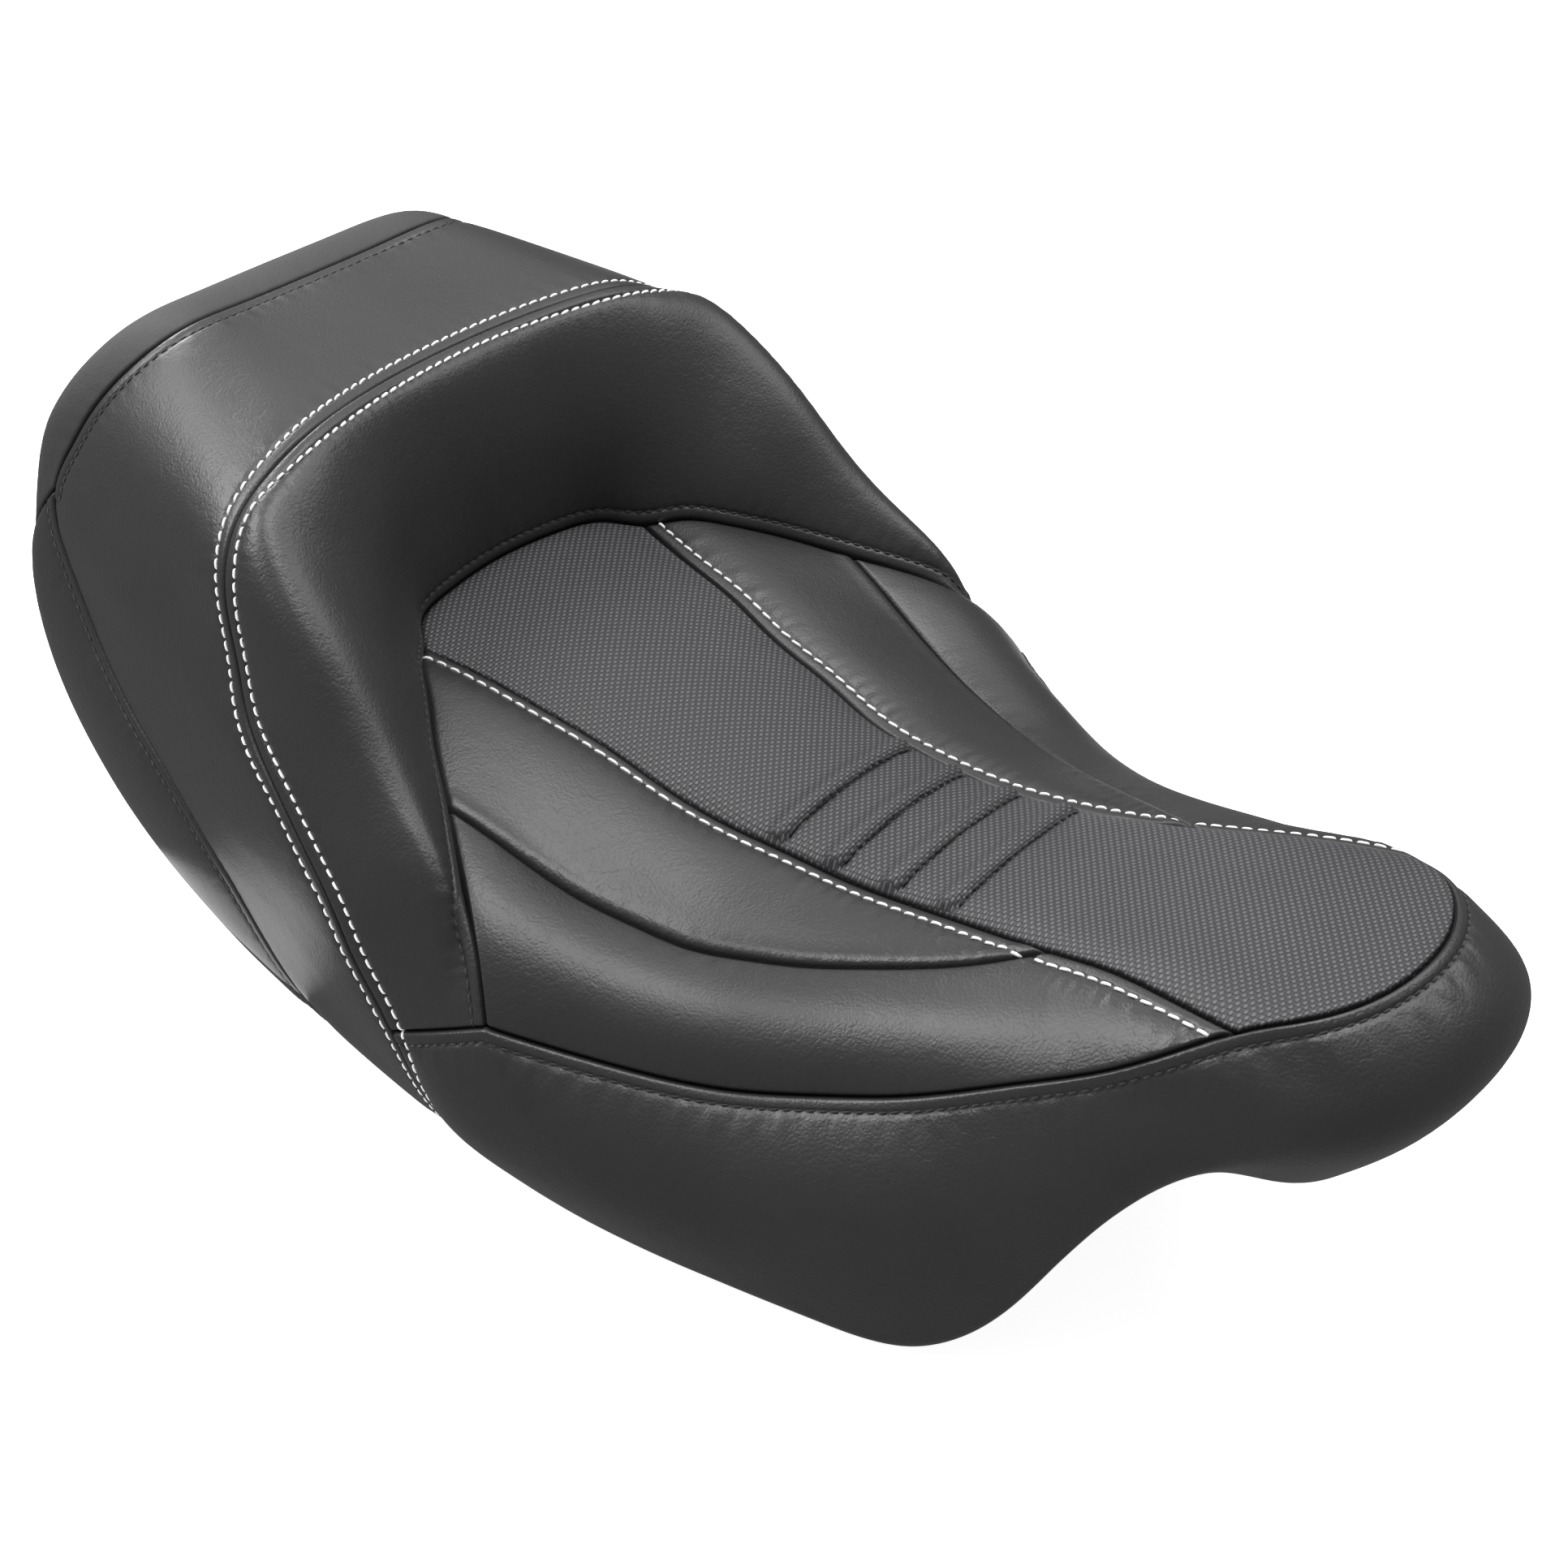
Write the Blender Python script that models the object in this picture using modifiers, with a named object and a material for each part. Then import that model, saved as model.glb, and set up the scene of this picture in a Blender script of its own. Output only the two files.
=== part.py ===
"""A one-piece motorcycle seat: a sewn vinyl cover of eleven panels over a moulded foam bun on a hard
base pan, with a front tongue, a rear tab, rubber bumpers, rivets and the staples that hold the cover.

+X points to the nose, +Y to the rider's left, +Z up. The seat stands on z = 0, with its box centred on
x = 0 and y = 0. The seam rails are drawn from the seat datum, the middle of the insert's back edge line,
and DATUM moves them into place. Rails hold (forward, half width, height) for the left half, in metres."""

import math

import bmesh
import bpy
import numpy as np
from mathutils import Matrix
from mathutils.kdtree import KDTree

DATUM = np.array([-0.1307, 0.0, 0.1566])

# The cover and what lies under it
COVER = 0.0020          # vinyl with its scrim backing
FOAM_GAP = 0.0004       # between the cover's back and the foam
FOAM_SETBACK = 0.0040   # how far the foam's lower edge stays in from the hem, and above it
WELD = 0.00002
SHARP = math.radians(35)
TINY = 1e-12
CROWNS = {"insert": 0.003, "inner": 0.003, "outer": 0.006, "gusset": 0.010}  # how far a panel swells
SEAM_GAP = 0.0006       # between neighbouring panels
TUCK = 0.015            # how far the cover is turned under the pan
TUCK_RISE = 0.0045      # how much higher the turned edge ends
PAN = 0.0030            # base pan wall
PAN_GAP = 0.0005        # between the pan and the foam
PAN_LIFT = 0.0110       # pan's upper face above the hem
FOAM_INSET = 0.0050     # where the foam's lower edge meets the pan's level, in from the hem
PAN_INSET = 0.0065      # pan's edge in from the hem
FOOT = 0.024            # width of the flat foot along the pan's edge
KNEE, THIGH = (0.3, 0.3, 0.35), (0.6, 0.6, 0.8)  # the tunnel wall's bends: shares of its run and of its rise
CEILING = -0.085        # height of the tunnel roof
SPINE_BACK, SPINE_FRONT = -0.150, 0.400
CEILING_BEND = 0.240    # forward of this the roof climbs
SHOULDER = 0.62         # the flat roof's half width, as a share of the foot's
NOSE_CEILING = -0.0635  # where the roof ends under the nose
UNDER_PAN = CEILING - PAN_GAP - PAN - 0.0004  # the level of what is fixed under the roof

# Points along each stretch of seam, so that neighbouring panels share theirs
BACK, BACK_INNER, BACK_OUTER = 5, 3, 4
INNER_RUN, FRONT_RUN = 10, 5
BOLSTER_RIBS, SKIRT_RIBS = 7, 6
CAP_RIBS, REAR_RIBS = 5, 6
REAR_TOP = 6
GUSSET_RUN = BACK + BACK_INNER + BACK_OUTER + SKIRT_RIBS - REAR_TOP  # as many on both long edges of the cap
EASE = 0.8              # the share of a loft's length after which it turns to meet its end edge
FINE = 1500             # points that a spline is measured with

PIECE_GAP = 0.0004      # between pieces that are stacked or riveted
BUMPER_RADIUS, BUMPER_HEIGHT, BUMPER_BEVEL = 0.011, 0.009, 0.002
BUMPER_PLACES = ((-0.085, 0.052), (0.055, 0.060), (0.185, 0.060))
RIVET_RADIUS, RIVET_HEAD, RIVET_HEAD_HEIGHT, RIVET_PLAY = 0.0024, 0.0048, 0.0020, 0.0003
RIVET_DOME = ((0.9, 0.5), (0.55, 0.9))  # the head's profile: shares of its radius and of its height
HOLE_DEPTH = 0.030      # long enough to pass through any plate
PLATE = 0.0030
PLATE_DROP = 0.0060     # how far both plates step down from the pan
TONGUE_RAMP, TONGUE_LEAD, TONGUE_LIFT = 0.012, 0.010, 0.003
TAB_RAMP = 0.008
TONGUE_BACK, TONGUE_STEP, TONGUE_TIP, TONGUE_HALF = 0.150, 0.230, 0.325, 0.026
TONGUE_RIVETS = ((0.170, 0.014), (0.170, -0.014), (0.212, 0.014), (0.212, -0.014))
TAB_FRONT, TAB_STEP, TAB_END, TAB_HALF = -0.095, -0.146, -0.214, 0.019
TAB_RIVETS = ((-0.108, 0.010), (-0.108, -0.010), (-0.130, 0.010), (-0.130, -0.010))
TAB_HOLE, TAB_HOLE_X = 0.0068, -0.201
STAPLES_A_SIDE, STAPLE_START = 12, 0.75
STAPLE = (0.0080, 0.0012, 0.0006)
STAPLE_GAP = 0.0013
STAPLE_LINE = 0.65      # where the staples lie across the turned edge

BOLSTER_SEAM = [
    (-0.024, 0, 0.006), (-0.021, 0.036, 0.005), (-0.014, 0.058, 0.003), (0, 0.070, 0.001),
    (0.013, 0.083, 0.003), (0.027, 0.094, 0.001), (0.049, 0.112, -0.006), (0.076, 0.131, -0.015),
    (0.092, 0.143, -0.021), (0.111, 0.157, -0.030), (0.126, 0.168, -0.042), (0.141, 0.180, -0.064),
]
BOLSTER_FACE = [
    (-0.024, 0, 0.055), (-0.022, 0.040, 0.055), (-0.012, 0.068, 0.052), (0, 0.088, 0.046),
    (0.012, 0.101, 0.038), (0.030, 0.113, 0.028), (0.048, 0.124, 0.014), (0.066, 0.135, 0.002),
    (0.085, 0.146, -0.010), (0.108, 0.160, -0.026), (0.126, 0.182, -0.068),
]
BOLSTER_CREST = [
    (-0.034, 0, 0.100), (-0.033, 0.045, 0.100), (-0.026, 0.085, 0.099), (-0.018, 0.110, 0.092),
    (-0.012, 0.128, 0.087), (0.005, 0.140, 0.069), (0.033, 0.147, 0.047), (0.052, 0.153, 0.024),
    (0.076, 0.161, 0.001), (0.098, 0.171, -0.025), (0.110, 0.1855, -0.078),
]
RIDGE = [
    (-0.045, 0, 0.104), (-0.043, 0.040, 0.104), (-0.036, 0.075, 0.104), (-0.030, 0.099, 0.101),
    (-0.029, 0.120, 0.093), (-0.027, 0.139, 0.080), (-0.0235, 0.149, 0.060), (-0.015, 0.157, 0.027),
    (-0.007, 0.163, 0.012), (0.015, 0.172, -0.006), (0.043, 0.180, -0.028), (0.060, 0.184, -0.044),
    (0.072, 0.186, -0.062), (0.085, 0.187, -0.078), (0.092, 0.187, -0.089),
]
LOW_RIDGE_RAIL = [
    (0.092, 0.187, -0.089), (0.098, 0.184, -0.108), (0.101, 0.177, -0.130), (0.103, 0.166, -0.152),
]
INSERT_SEAM = [
    (0, 0.070, 0.001), (0.032, 0.064, -0.004), (0.064, 0.060, -0.010), (0.093, 0.055, -0.018),
    (0.123, 0.053, -0.026), (0.152, 0.049, -0.033), (0.183, 0.046, -0.035), (0.216, 0.045, -0.035),
    (0.248, 0.045, -0.031), (0.282, 0.047, -0.024), (0.316, 0.051, -0.0148),
]
FRONT_SEAM = [(0.316, 0.051, -0.0148), (0.346, 0.055, -0.006), (0.377, 0.061, 0), (0.405, 0.066, 0.004)]
INNER_SEAM = [
    (0.076, 0.131, -0.015), (0.096, 0.127, -0.023), (0.116, 0.123, -0.032), (0.138, 0.118, -0.040),
    (0.160, 0.112, -0.045), (0.183, 0.106, -0.048), (0.205, 0.098, -0.047), (0.227, 0.090, -0.044),
    (0.248, 0.082, -0.039), (0.269, 0.074, -0.033), (0.290, 0.065, -0.026), (0.316, 0.051, -0.0148),
]
NOSE_ARC = [
    (0.444, 0, 0.016), (0.441, 0.022, 0.015), (0.432, 0.042, 0.013), (0.423, 0.053, 0.011),
    (0.414, 0.060, 0.008), (0.405, 0.066, 0.004),
]
SIDE_SEAM = [
    (0.405, 0.066, 0.004), (0.388, 0.079, -0.006), (0.368, 0.088, -0.020), (0.340, 0.098, -0.035),
    (0.292, 0.112, -0.060), (0.262, 0.122, -0.070), (0.230, 0.136, -0.076), (0.196, 0.152, -0.075),
    (0.165, 0.166, -0.071), (0.141, 0.180, -0.064),
]
HIP_SEAM = [(0.141, 0.180, -0.064), (0.118, 0.185, -0.075), (0.092, 0.187, -0.089)]
SKIRT_BELLY = [
    (0.475, 0, -0.018), (0.471, 0.030, -0.019), (0.458, 0.056, -0.021), (0.438, 0.075, -0.025),
    (0.414, 0.086, -0.032), (0.385, 0.101, -0.050), (0.345, 0.120, -0.082), (0.295, 0.143, -0.106),
    (0.245, 0.162, -0.116), (0.200, 0.177, -0.117), (0.160, 0.187, -0.114), (0.128, 0.190, -0.112),
    (0.099, 0.183, -0.112),
]
HEM = [
    (0.438, 0, -0.071), (0.436, 0.030, -0.070), (0.424, 0.058, -0.062), (0.406, 0.077, -0.054),
    (0.385, 0.097, -0.070), (0.365, 0.115, -0.105), (0.345, 0.128, -0.138), (0.322, 0.139, -0.154),
    (0.285, 0.150, -0.156), (0.230, 0.160, -0.156), (0.168, 0.167, -0.155), (0.103, 0.166, -0.152),
]
CAP_HEM = [(0.103, 0.166, -0.152), (0.057, 0.161, -0.151), (0.012, 0.155, -0.150)]
GUSSET_HEM = [
    (0.012, 0.155, -0.150), (-0.050, 0.143, -0.1525), (-0.110, 0.127, -0.155), (-0.158, 0.113, -0.1566),
]
REAR_HEM = [
    (-0.158, 0.113, -0.1566), (-0.166, 0.100, -0.138), (-0.174, 0.080, -0.107), (-0.177, 0.040, -0.093),
    (-0.177, 0, -0.091),
]
REAR_SEAM = [
    (-0.135, 0, 0.112), (-0.134, 0.045, 0.113), (-0.131, 0.079, 0.114), (-0.142, 0.100, 0.100),
    (-0.1565, 0.115, 0.0775), (-0.163, 0.120, 0.065), (-0.172, 0.127, 0.043),
]
GUSSET_SEAM = [
    (-0.172, 0.127, 0.043), (-0.155, 0.135, 0.003), (-0.138, 0.140, -0.018), (-0.111, 0.147, -0.041),
    (-0.086, 0.152, -0.0575), (-0.062, 0.156, -0.076), (-0.041, 0.158, -0.0945), (-0.0225, 0.159, -0.116),
    (-0.004, 0.160, -0.132), (0.012, 0.155, -0.150),
]
REAR_LIP = [
    (-0.162, 0, 0.109), (-0.161, 0.045, 0.1095), (-0.159, 0.079, 0.1085), (-0.168, 0.103, 0.092),
    (-0.178, 0.117, 0.068), (-0.184, 0.126, 0.042),
]
REAR_BELLY = [(-0.194, 0, 0.010), (-0.194, 0.050, 0.008), (-0.195, 0.100, 0.002), (-0.197, 0.125, -0.010)]
CORNER_EDGE = [
    (-0.172, 0.127, 0.043), (-0.191, 0.1275, 0.018), (-0.198, 0.126, -0.020), (-0.191, 0.122, -0.070),
    (-0.158, 0.113, -0.1566),
]


def unit(vectors):
    return vectors / (np.linalg.norm(vectors, axis=-1, keepdims=True) + TINY)


def spline(points, knots=None):
    """A natural cubic through the points, as a function of its knots: from 0 to 1, by chord length."""
    p = np.asarray(points, float)
    if knots is None:
        chords = np.linalg.norm(np.diff(p, axis=0), axis=1)
        knots = np.append(0, np.cumsum(chords)) / chords.sum()
    h = np.diff(knots)
    last = len(p) - 1
    system = np.eye(last + 1)
    wanted = np.zeros_like(p)
    for i in range(1, last):
        system[i, i - 1:i + 2] = h[i - 1], 2 * (h[i - 1] + h[i]), h[i]
    wanted[1:-1] = 3 * ((p[2:] - p[1:-1]) / h[1:, None] - (p[1:-1] - p[:-2]) / h[:-1, None])
    bend = np.linalg.solve(system, wanted)

    def at(t):
        i = np.clip(np.searchsorted(knots, t, side="right") - 1, 0, last - 1)
        step = h[i][:, None]
        x = (np.asarray(t) - knots[i])[:, None]
        slope = (p[i + 1] - p[i]) / step - step * (2 * bend[i] + bend[i + 1]) / 3
        return p[i] + slope * x + bend[i] * x**2 + (bend[i + 1] - bend[i]) / (3 * step) * x**3

    return at


def rail(points, pieces):
    """The spline through the points, cut into equal lengths: pieces + 1 points."""
    fine = spline(points)(np.linspace(0, 1, FINE))
    run = np.append(0, np.cumsum(np.linalg.norm(np.diff(fine, axis=0), axis=1)))
    wanted = np.linspace(0, run[-1], pieces + 1)
    return np.stack([np.interp(wanted, run, fine[:, k]) for k in range(3)], axis=1)


def joined(points, cuts):
    """One smooth rail through all points, cut at some of them: cuts lists (index, pieces up to it)."""
    chords = np.linalg.norm(np.diff(np.asarray(points, float), axis=0), axis=1)
    knots = np.append(0, np.cumsum(chords)) / chords.sum()
    curve = spline(points)
    out, start = [], 0.0
    for index, pieces in cuts:
        fine = curve(np.linspace(start, knots[index], FINE))
        run = np.append(0, np.cumsum(np.linalg.norm(np.diff(fine, axis=0), axis=1)))
        wanted = np.linspace(0, run[-1], pieces + 1)
        out.append(np.stack([np.interp(wanted, run, fine[:, k]) for k in range(3)], axis=1)[bool(out):])
        start = knots[index]
    return np.concatenate(out)


def both(half):
    """Right and left halves of a rail that starts on the middle plane: right end first."""
    return np.concatenate([half[::-1] * (1, -1, 1), half[1:]])


def loft(rails, pieces):
    """Ribs carried across the rails, each a spline through them. Rows run across, columns along."""
    stack = np.asarray(rails)
    gaps = np.linalg.norm(np.diff(stack, axis=0), axis=2).mean(axis=1)
    knots = np.append(0, np.cumsum(gaps)) / gaps.sum()
    flat = spline(stack.reshape(len(stack), -1), knots)(np.linspace(0, 1, pieces + 1))
    return flat.reshape(pieces + 1, -1, 3)


def patch(near, far, first, last):
    """A Coons patch: the surface that blends between two rails and the two edges that join their ends."""
    u = np.linspace(0, 1, len(near))[None, :, None]
    v = np.linspace(0, 1, len(first))[:, None, None]
    sides = (1 - v) * near[None] + v * far[None]
    ends = (1 - u) * first[:, None] + u * last[:, None]
    corners = (1 - u) * ((1 - v) * near[0] + v * far[0]) + u * ((1 - v) * near[-1] + v * far[-1])
    return sides + ends - corners


def crowned(grid, height):
    """The patch swollen along its normals: most in its middle, less where it is narrow, none at its edges."""
    rows, columns = grid.shape[:2]
    along, across = np.gradient(grid, axis=1), np.gradient(grid, axis=0)
    out = unit(np.cross(along, across))
    width = np.linalg.norm(grid[-1] - grid[0], axis=1)
    run = np.sqrt(np.clip(np.sin(np.pi * np.linspace(0, 1, columns)), 0, 1)) * width / width.max()
    return grid + height * np.outer(np.sin(np.pi * np.linspace(0, 1, rows)), run)[..., None] * out


def end_matched(grid, edge):
    """The loft's last rib moved onto the given edge, and its neighbours part of the way."""
    share = np.clip((np.linspace(0, 1, grid.shape[1]) - EASE) / (1 - EASE), 0, 1)[None, :, None] ** 2
    return grid + share * (edge - grid[:, -1])[:, None]


def mirrored(grid):
    """The other hand of a patch, with its rows turned so that it still faces out."""
    return (grid * (1, -1, 1))[:, ::-1]


def make_patches():
    """Every panel's outer surface. A panel's normals point out where rows x columns do."""
    seam = joined(BOLSTER_SEAM, ((3, BACK), (7, BACK_INNER), (11, BACK_OUTER)))
    bolster_run = len(seam) - 1
    ridge_cuts = ((len(RIDGE) - 1, bolster_run), (len(RIDGE) + len(LOW_RIDGE_RAIL) - 2, SKIRT_RIBS))
    ridge_all = joined(RIDGE + LOW_RIDGE_RAIL[1:], ridge_cuts)
    ridge = ridge_all[:bolster_run + 1]
    low_ridge = ridge_all[bolster_run:]
    hip = rail(HIP_SEAM, BOLSTER_RIBS)
    face, crest = rail(BOLSTER_FACE, bolster_run), rail(BOLSTER_CREST, bolster_run)
    half = end_matched(loft([seam, face, crest, ridge], BOLSTER_RIBS), hip)
    bolster = np.concatenate([(half * (1, -1, 1))[:, ::-1], half[:, 1:]], axis=1)

    insert_run = joined(INSERT_SEAM + FRONT_SEAM[1:], ((10, INNER_RUN), (13, FRONT_RUN)))
    top = joined(NOSE_ARC + SIDE_SEAM[1:], ((5, BACK), (14, INNER_RUN + FRONT_RUN)))
    nose, side = top[:BACK + 1], top[BACK:]
    inner_seam = rail(INNER_SEAM, INNER_RUN)
    insert = patch(insert_run * (1, -1, 1), insert_run, both(seam[:BACK + 1]), both(nose))
    fork = insert_run[INNER_RUN]
    inner = patch(insert_run[:INNER_RUN + 1], inner_seam, seam[BACK:BACK + BACK_INNER + 1],
                  np.repeat(fork[None], BACK_INNER + 1, axis=0))
    outer_top = np.concatenate([inner_seam, insert_run[INNER_RUN + 1:]])
    fork_end = np.repeat(side[:1], BACK_OUTER + 1, axis=0)
    outer = patch(outer_top, side[::-1], seam[BACK + BACK_INNER:], fork_end)

    skirt_top = np.concatenate([top, hip[1:]])
    skirt_run = len(skirt_top) - 1
    skirt_half = loft([skirt_top, rail(SKIRT_BELLY, skirt_run), rail(HEM, skirt_run)], SKIRT_RIBS)
    skirt_half[:, -1] = low_ridge
    skirt = np.concatenate([(skirt_half * (1, -1, 1))[:, ::-1], skirt_half[:, 1:]], axis=1)

    back = joined(REAR_SEAM + GUSSET_SEAM[1:], ((6, REAR_TOP), (15, GUSSET_RUN)))
    low_edge = rail(CAP_HEM, CAP_RIBS)
    cap_half = patch(ridge_all, back, rail([RIDGE[0], REAR_SEAM[0]], CAP_RIBS), low_edge)
    cap = np.concatenate([(cap_half * (1, -1, 1))[:, ::-1], cap_half[:, 1:]], axis=1)

    corner = rail(CORNER_EDGE, REAR_RIBS)
    gusset_low = rail(GUSSET_HEM[::-1], GUSSET_RUN)
    gusset = patch(back[REAR_TOP:], gusset_low, corner, np.repeat(gusset_low[-1:], REAR_RIBS + 1, axis=0))
    rear_half = loft([back[:REAR_TOP + 1], rail(REAR_LIP, REAR_TOP), rail(REAR_BELLY, REAR_TOP),
                      rail(REAR_HEM[::-1], REAR_TOP)], REAR_RIBS)
    rear_half = end_matched(rear_half, corner)
    rear = np.concatenate([(rear_half * (1, -1, 1))[:, ::-1], rear_half[:, 1:]], axis=1)

    patches = {
        "insert": insert, "inner": inner, "outer": outer, "skirt": skirt, "bolster": bolster,
        "rear_cap": cap, "gusset": gusset, "rear": rear,
    }
    for name, height in CROWNS.items():
        patches[name] = crowned(patches[name], height)
    hem = np.concatenate([skirt_half[-1], low_edge[1:], gusset_low[::-1][1:], rear_half[-1][::-1][1:]])
    return patches, hem


class Underside:
    """The hem loop from the nose round one side to the back, and the ways in and up from it."""

    def __init__(self, hem):
        self.hem = hem
        share = (hem[:, 0] - hem[:, 0].min()) / np.ptp(hem[:, 0])
        spine_x = SPINE_BACK + share * (SPINE_FRONT - SPINE_BACK)
        spine_x[[0, -1]] = spine_x[[1, -2]]  # the end columns lie on the middle plane, so they share a point
        rise = np.clip((spine_x - CEILING_BEND) / (SPINE_FRONT - CEILING_BEND), 0, 1)
        roof = CEILING + rise**2 * (NOSE_CEILING - CEILING)
        self.spine = np.stack([spine_x, 0 * spine_x, roof], axis=1)
        self.inward = unit((self.spine - hem) * (1, 1, 0))
        along = np.gradient(hem, axis=0)
        along[[0, -1]] = (0, 1, 0)
        up = unit(np.cross(along, self.inward))
        self.up = up * np.sign(up[:, 2:])

    def shifted(self, inward, up):
        return self.hem + inward * self.inward + up * self.up

    def pan_rows(self, inset):
        """The pan's upper face: a rim, a flat foot, a wall that climbs to the tunnel roof, and the roof."""
        rim = self.shifted(inset, PAN_LIFT)
        foot = self.shifted(FOOT, PAN_LIFT)
        flat = (1, 1, 0)
        shoulder = self.spine + SHOULDER * (foot - self.spine) * flat
        knee = foot + (shoulder - foot) * KNEE
        thigh = foot + (shoulder - foot) * THIGH
        half_roof = (shoulder + self.spine) / 2
        return np.stack([rim, foot, knee, thigh, shoulder, half_roof, self.spine])


def mesh_of(name, points, faces):
    mesh = bpy.data.meshes.new(name)
    mesh.from_pydata([tuple(p) for p in points], [], faces)
    return mesh


def grid_faces(rows, columns, start=0, flip=False):
    """Two triangles for each cell, always cut along the same diagonal."""
    faces = []
    for i in range(rows - 1):
        for j in range(columns - 1):
            a = start + i * columns + j
            b, c, d = a + 1, a + columns + 1, a + columns
            faces += [(a, b, c), (a, c, d)] if not flip else [(a, c, b), (a, d, c)]
    return faces


def welded(mesh, distance=WELD):
    """The mesh with meeting points made one and its faces turned outwards."""
    work = bmesh.new()
    work.from_mesh(mesh)
    bmesh.ops.remove_doubles(work, verts=work.verts, dist=distance)
    bmesh.ops.dissolve_degenerate(work, edges=work.edges, dist=distance)
    bmesh.ops.recalc_face_normals(work, faces=work.faces)
    work.to_mesh(mesh)
    work.free()
    return mesh


def normals_of(grids):
    """A lookup of each point's outward normal, averaged over every panel that meets there."""
    points, faces = [], []
    for grid in grids:
        faces += grid_faces(*grid.shape[:2], start=len(points))
        points += list(grid.reshape(-1, 3))
    mesh = welded(mesh_of("cover_reference", points, faces))
    if sum(polygon.normal.z * polygon.area for polygon in mesh.polygons) < 0:
        mesh.flip_normals()
    tree = KDTree(len(mesh.vertices))
    for vertex, normal in zip(mesh.vertices, mesh.vertex_normals):
        tree.insert(vertex.co, vertex.index)
    tree.balance()
    table = np.array([normal.vector for normal in mesh.vertex_normals])
    bpy.data.meshes.remove(mesh)

    def lookup(grid):
        flat = grid.reshape(-1, 3)
        return table[[tree.find(p)[1] for p in flat]].reshape(grid.shape)

    return lookup


def material(name, colour, roughness, metallic=0.0):
    made = bpy.data.materials.new(name)
    made.use_nodes = True
    shader = made.node_tree.nodes["Principled BSDF"]
    shader.inputs["Base Color"].default_value = (*colour, 1)
    shader.inputs["Roughness"].default_value = roughness
    shader.inputs["Metallic"].default_value = metallic
    return made


def place(name, mesh, finish, collection):
    mesh.materials.clear()
    mesh.materials.append(finish)
    node = bpy.data.objects.new(name, mesh)
    collection.objects.link(node)
    return node


def pulled_in(grid, gap):
    """The panel with each border moved in by the seam gap, so that it stays clear of its neighbours."""
    out = grid.copy()
    first, second, last, before = np.s_[0], np.s_[1], np.s_[-1], np.s_[-2]
    rows = ((first, second), (last, before))
    columns = tuple((np.s_[:, edge], np.s_[:, beside]) for edge, beside in rows)
    for edge, beside in rows + columns:
        step = grid[beside] - grid[edge]
        size = np.linalg.norm(step, axis=-1, keepdims=True)
        out[edge] += unit(step) * np.minimum(gap, size / 3)
    return out


def panel(name, grid, normal_at, finish, collection):
    """A cover panel: its outer face, the same face moved in by the cover's thickness, and its cut edge."""
    rows, columns = grid.shape[:2]
    outer = pulled_in(grid, SEAM_GAP)
    inner = outer - COVER * normal_at(grid)
    count = rows * columns
    faces = grid_faces(rows, columns) + grid_faces(rows, columns, count, flip=True)
    border = list(range(columns))
    border += [i * columns + columns - 1 for i in range(1, rows)]
    border += [(rows - 1) * columns + j for j in range(columns - 2, -1, -1)]
    border += [i * columns for i in range(rows - 2, 0, -1)]
    for a, b in zip(border, border[1:] + border[:1]):
        faces += [(a, b + count, b), (a, a + count, b + count)]
    points = np.concatenate([outer.reshape(-1, 3), inner.reshape(-1, 3)]) + DATUM
    mesh = welded(mesh_of(name, points, faces))
    mesh.shade_smooth()
    mesh.set_sharp_from_angle(angle=SHARP)
    return place(name, mesh, finish, collection)


def foam_bun(grids, hem_rows, pan_rows, normal_at, finish, collection):
    """The bun: every panel's surface moved in past the cover's back, closed by the pan's upper face."""
    hem_tree = KDTree(len(hem_rows["hem"]))
    for i, point in enumerate(hem_rows["hem"]):
        hem_tree.insert(point, i)
    hem_tree.balance()
    points, faces = [], []
    for grid in grids:
        moved = grid - (COVER + FOAM_GAP) * normal_at(grid)
        flat, sunk = grid.reshape(-1, 3), moved.reshape(-1, 3)
        for k, point in enumerate(flat):
            _, i, distance = hem_tree.find(point)
            if distance < WELD:
                sunk[k] = hem_rows["foam"][i]
        faces += grid_faces(*grid.shape[:2], start=len(points))
        points += list(sunk)
    for hand in (1, -1):
        bottom = np.concatenate([hem_rows["half"][None], pan_rows]) * (1, hand, 1)
        faces += grid_faces(*bottom.shape[:2], start=len(points))
        points += list(bottom.reshape(-1, 3))
    mesh = welded(mesh_of("foam_bun", np.array(points) + DATUM, faces))
    mesh.shade_smooth()
    mesh.set_sharp_from_angle(angle=SHARP)
    return place("foam_bun", mesh, finish, collection)


def turned(name, profile, where, finish, collection, steps=16):
    """A turned piece: a profile of (radius, height) points, top first, spun about its own upright axis."""
    mesh = bpy.data.meshes.new(name)
    edges = [(i, i + 1) for i in range(len(profile) - 1)]
    mesh.from_pydata([(radius, 0, height) for radius, height in profile], edges, [])
    node = place(name, mesh, finish, collection)
    screw = node.modifiers.new("Turn", "SCREW")
    screw.axis = "Z"
    screw.steps = screw.render_steps = steps
    screw.use_merge_vertices = True
    screw.merge_threshold = WELD
    screw.use_smooth_shade = True
    node.location = where
    return node


def bent_plate(name, profile, half_width, finish, collection):
    """A plate bent from strip: its edge profile (forward, height) drawn out to both sides."""
    outline = bmesh.new()
    corners = [outline.verts.new((x, -half_width, z)) for x, z in profile]
    face = outline.faces.new(corners)
    swept = bmesh.ops.extrude_face_region(outline, geom=[face])
    moved = [piece for piece in swept["geom"] if isinstance(piece, bmesh.types.BMVert)]
    bmesh.ops.translate(outline, verts=moved, vec=(0, 2 * half_width, 0))
    bmesh.ops.recalc_face_normals(outline, faces=outline.faces)
    mesh = bpy.data.meshes.new(name)
    outline.to_mesh(mesh)
    outline.free()
    mesh.transform(Matrix.Translation(DATUM))
    return place(name, mesh, finish, collection)


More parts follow.
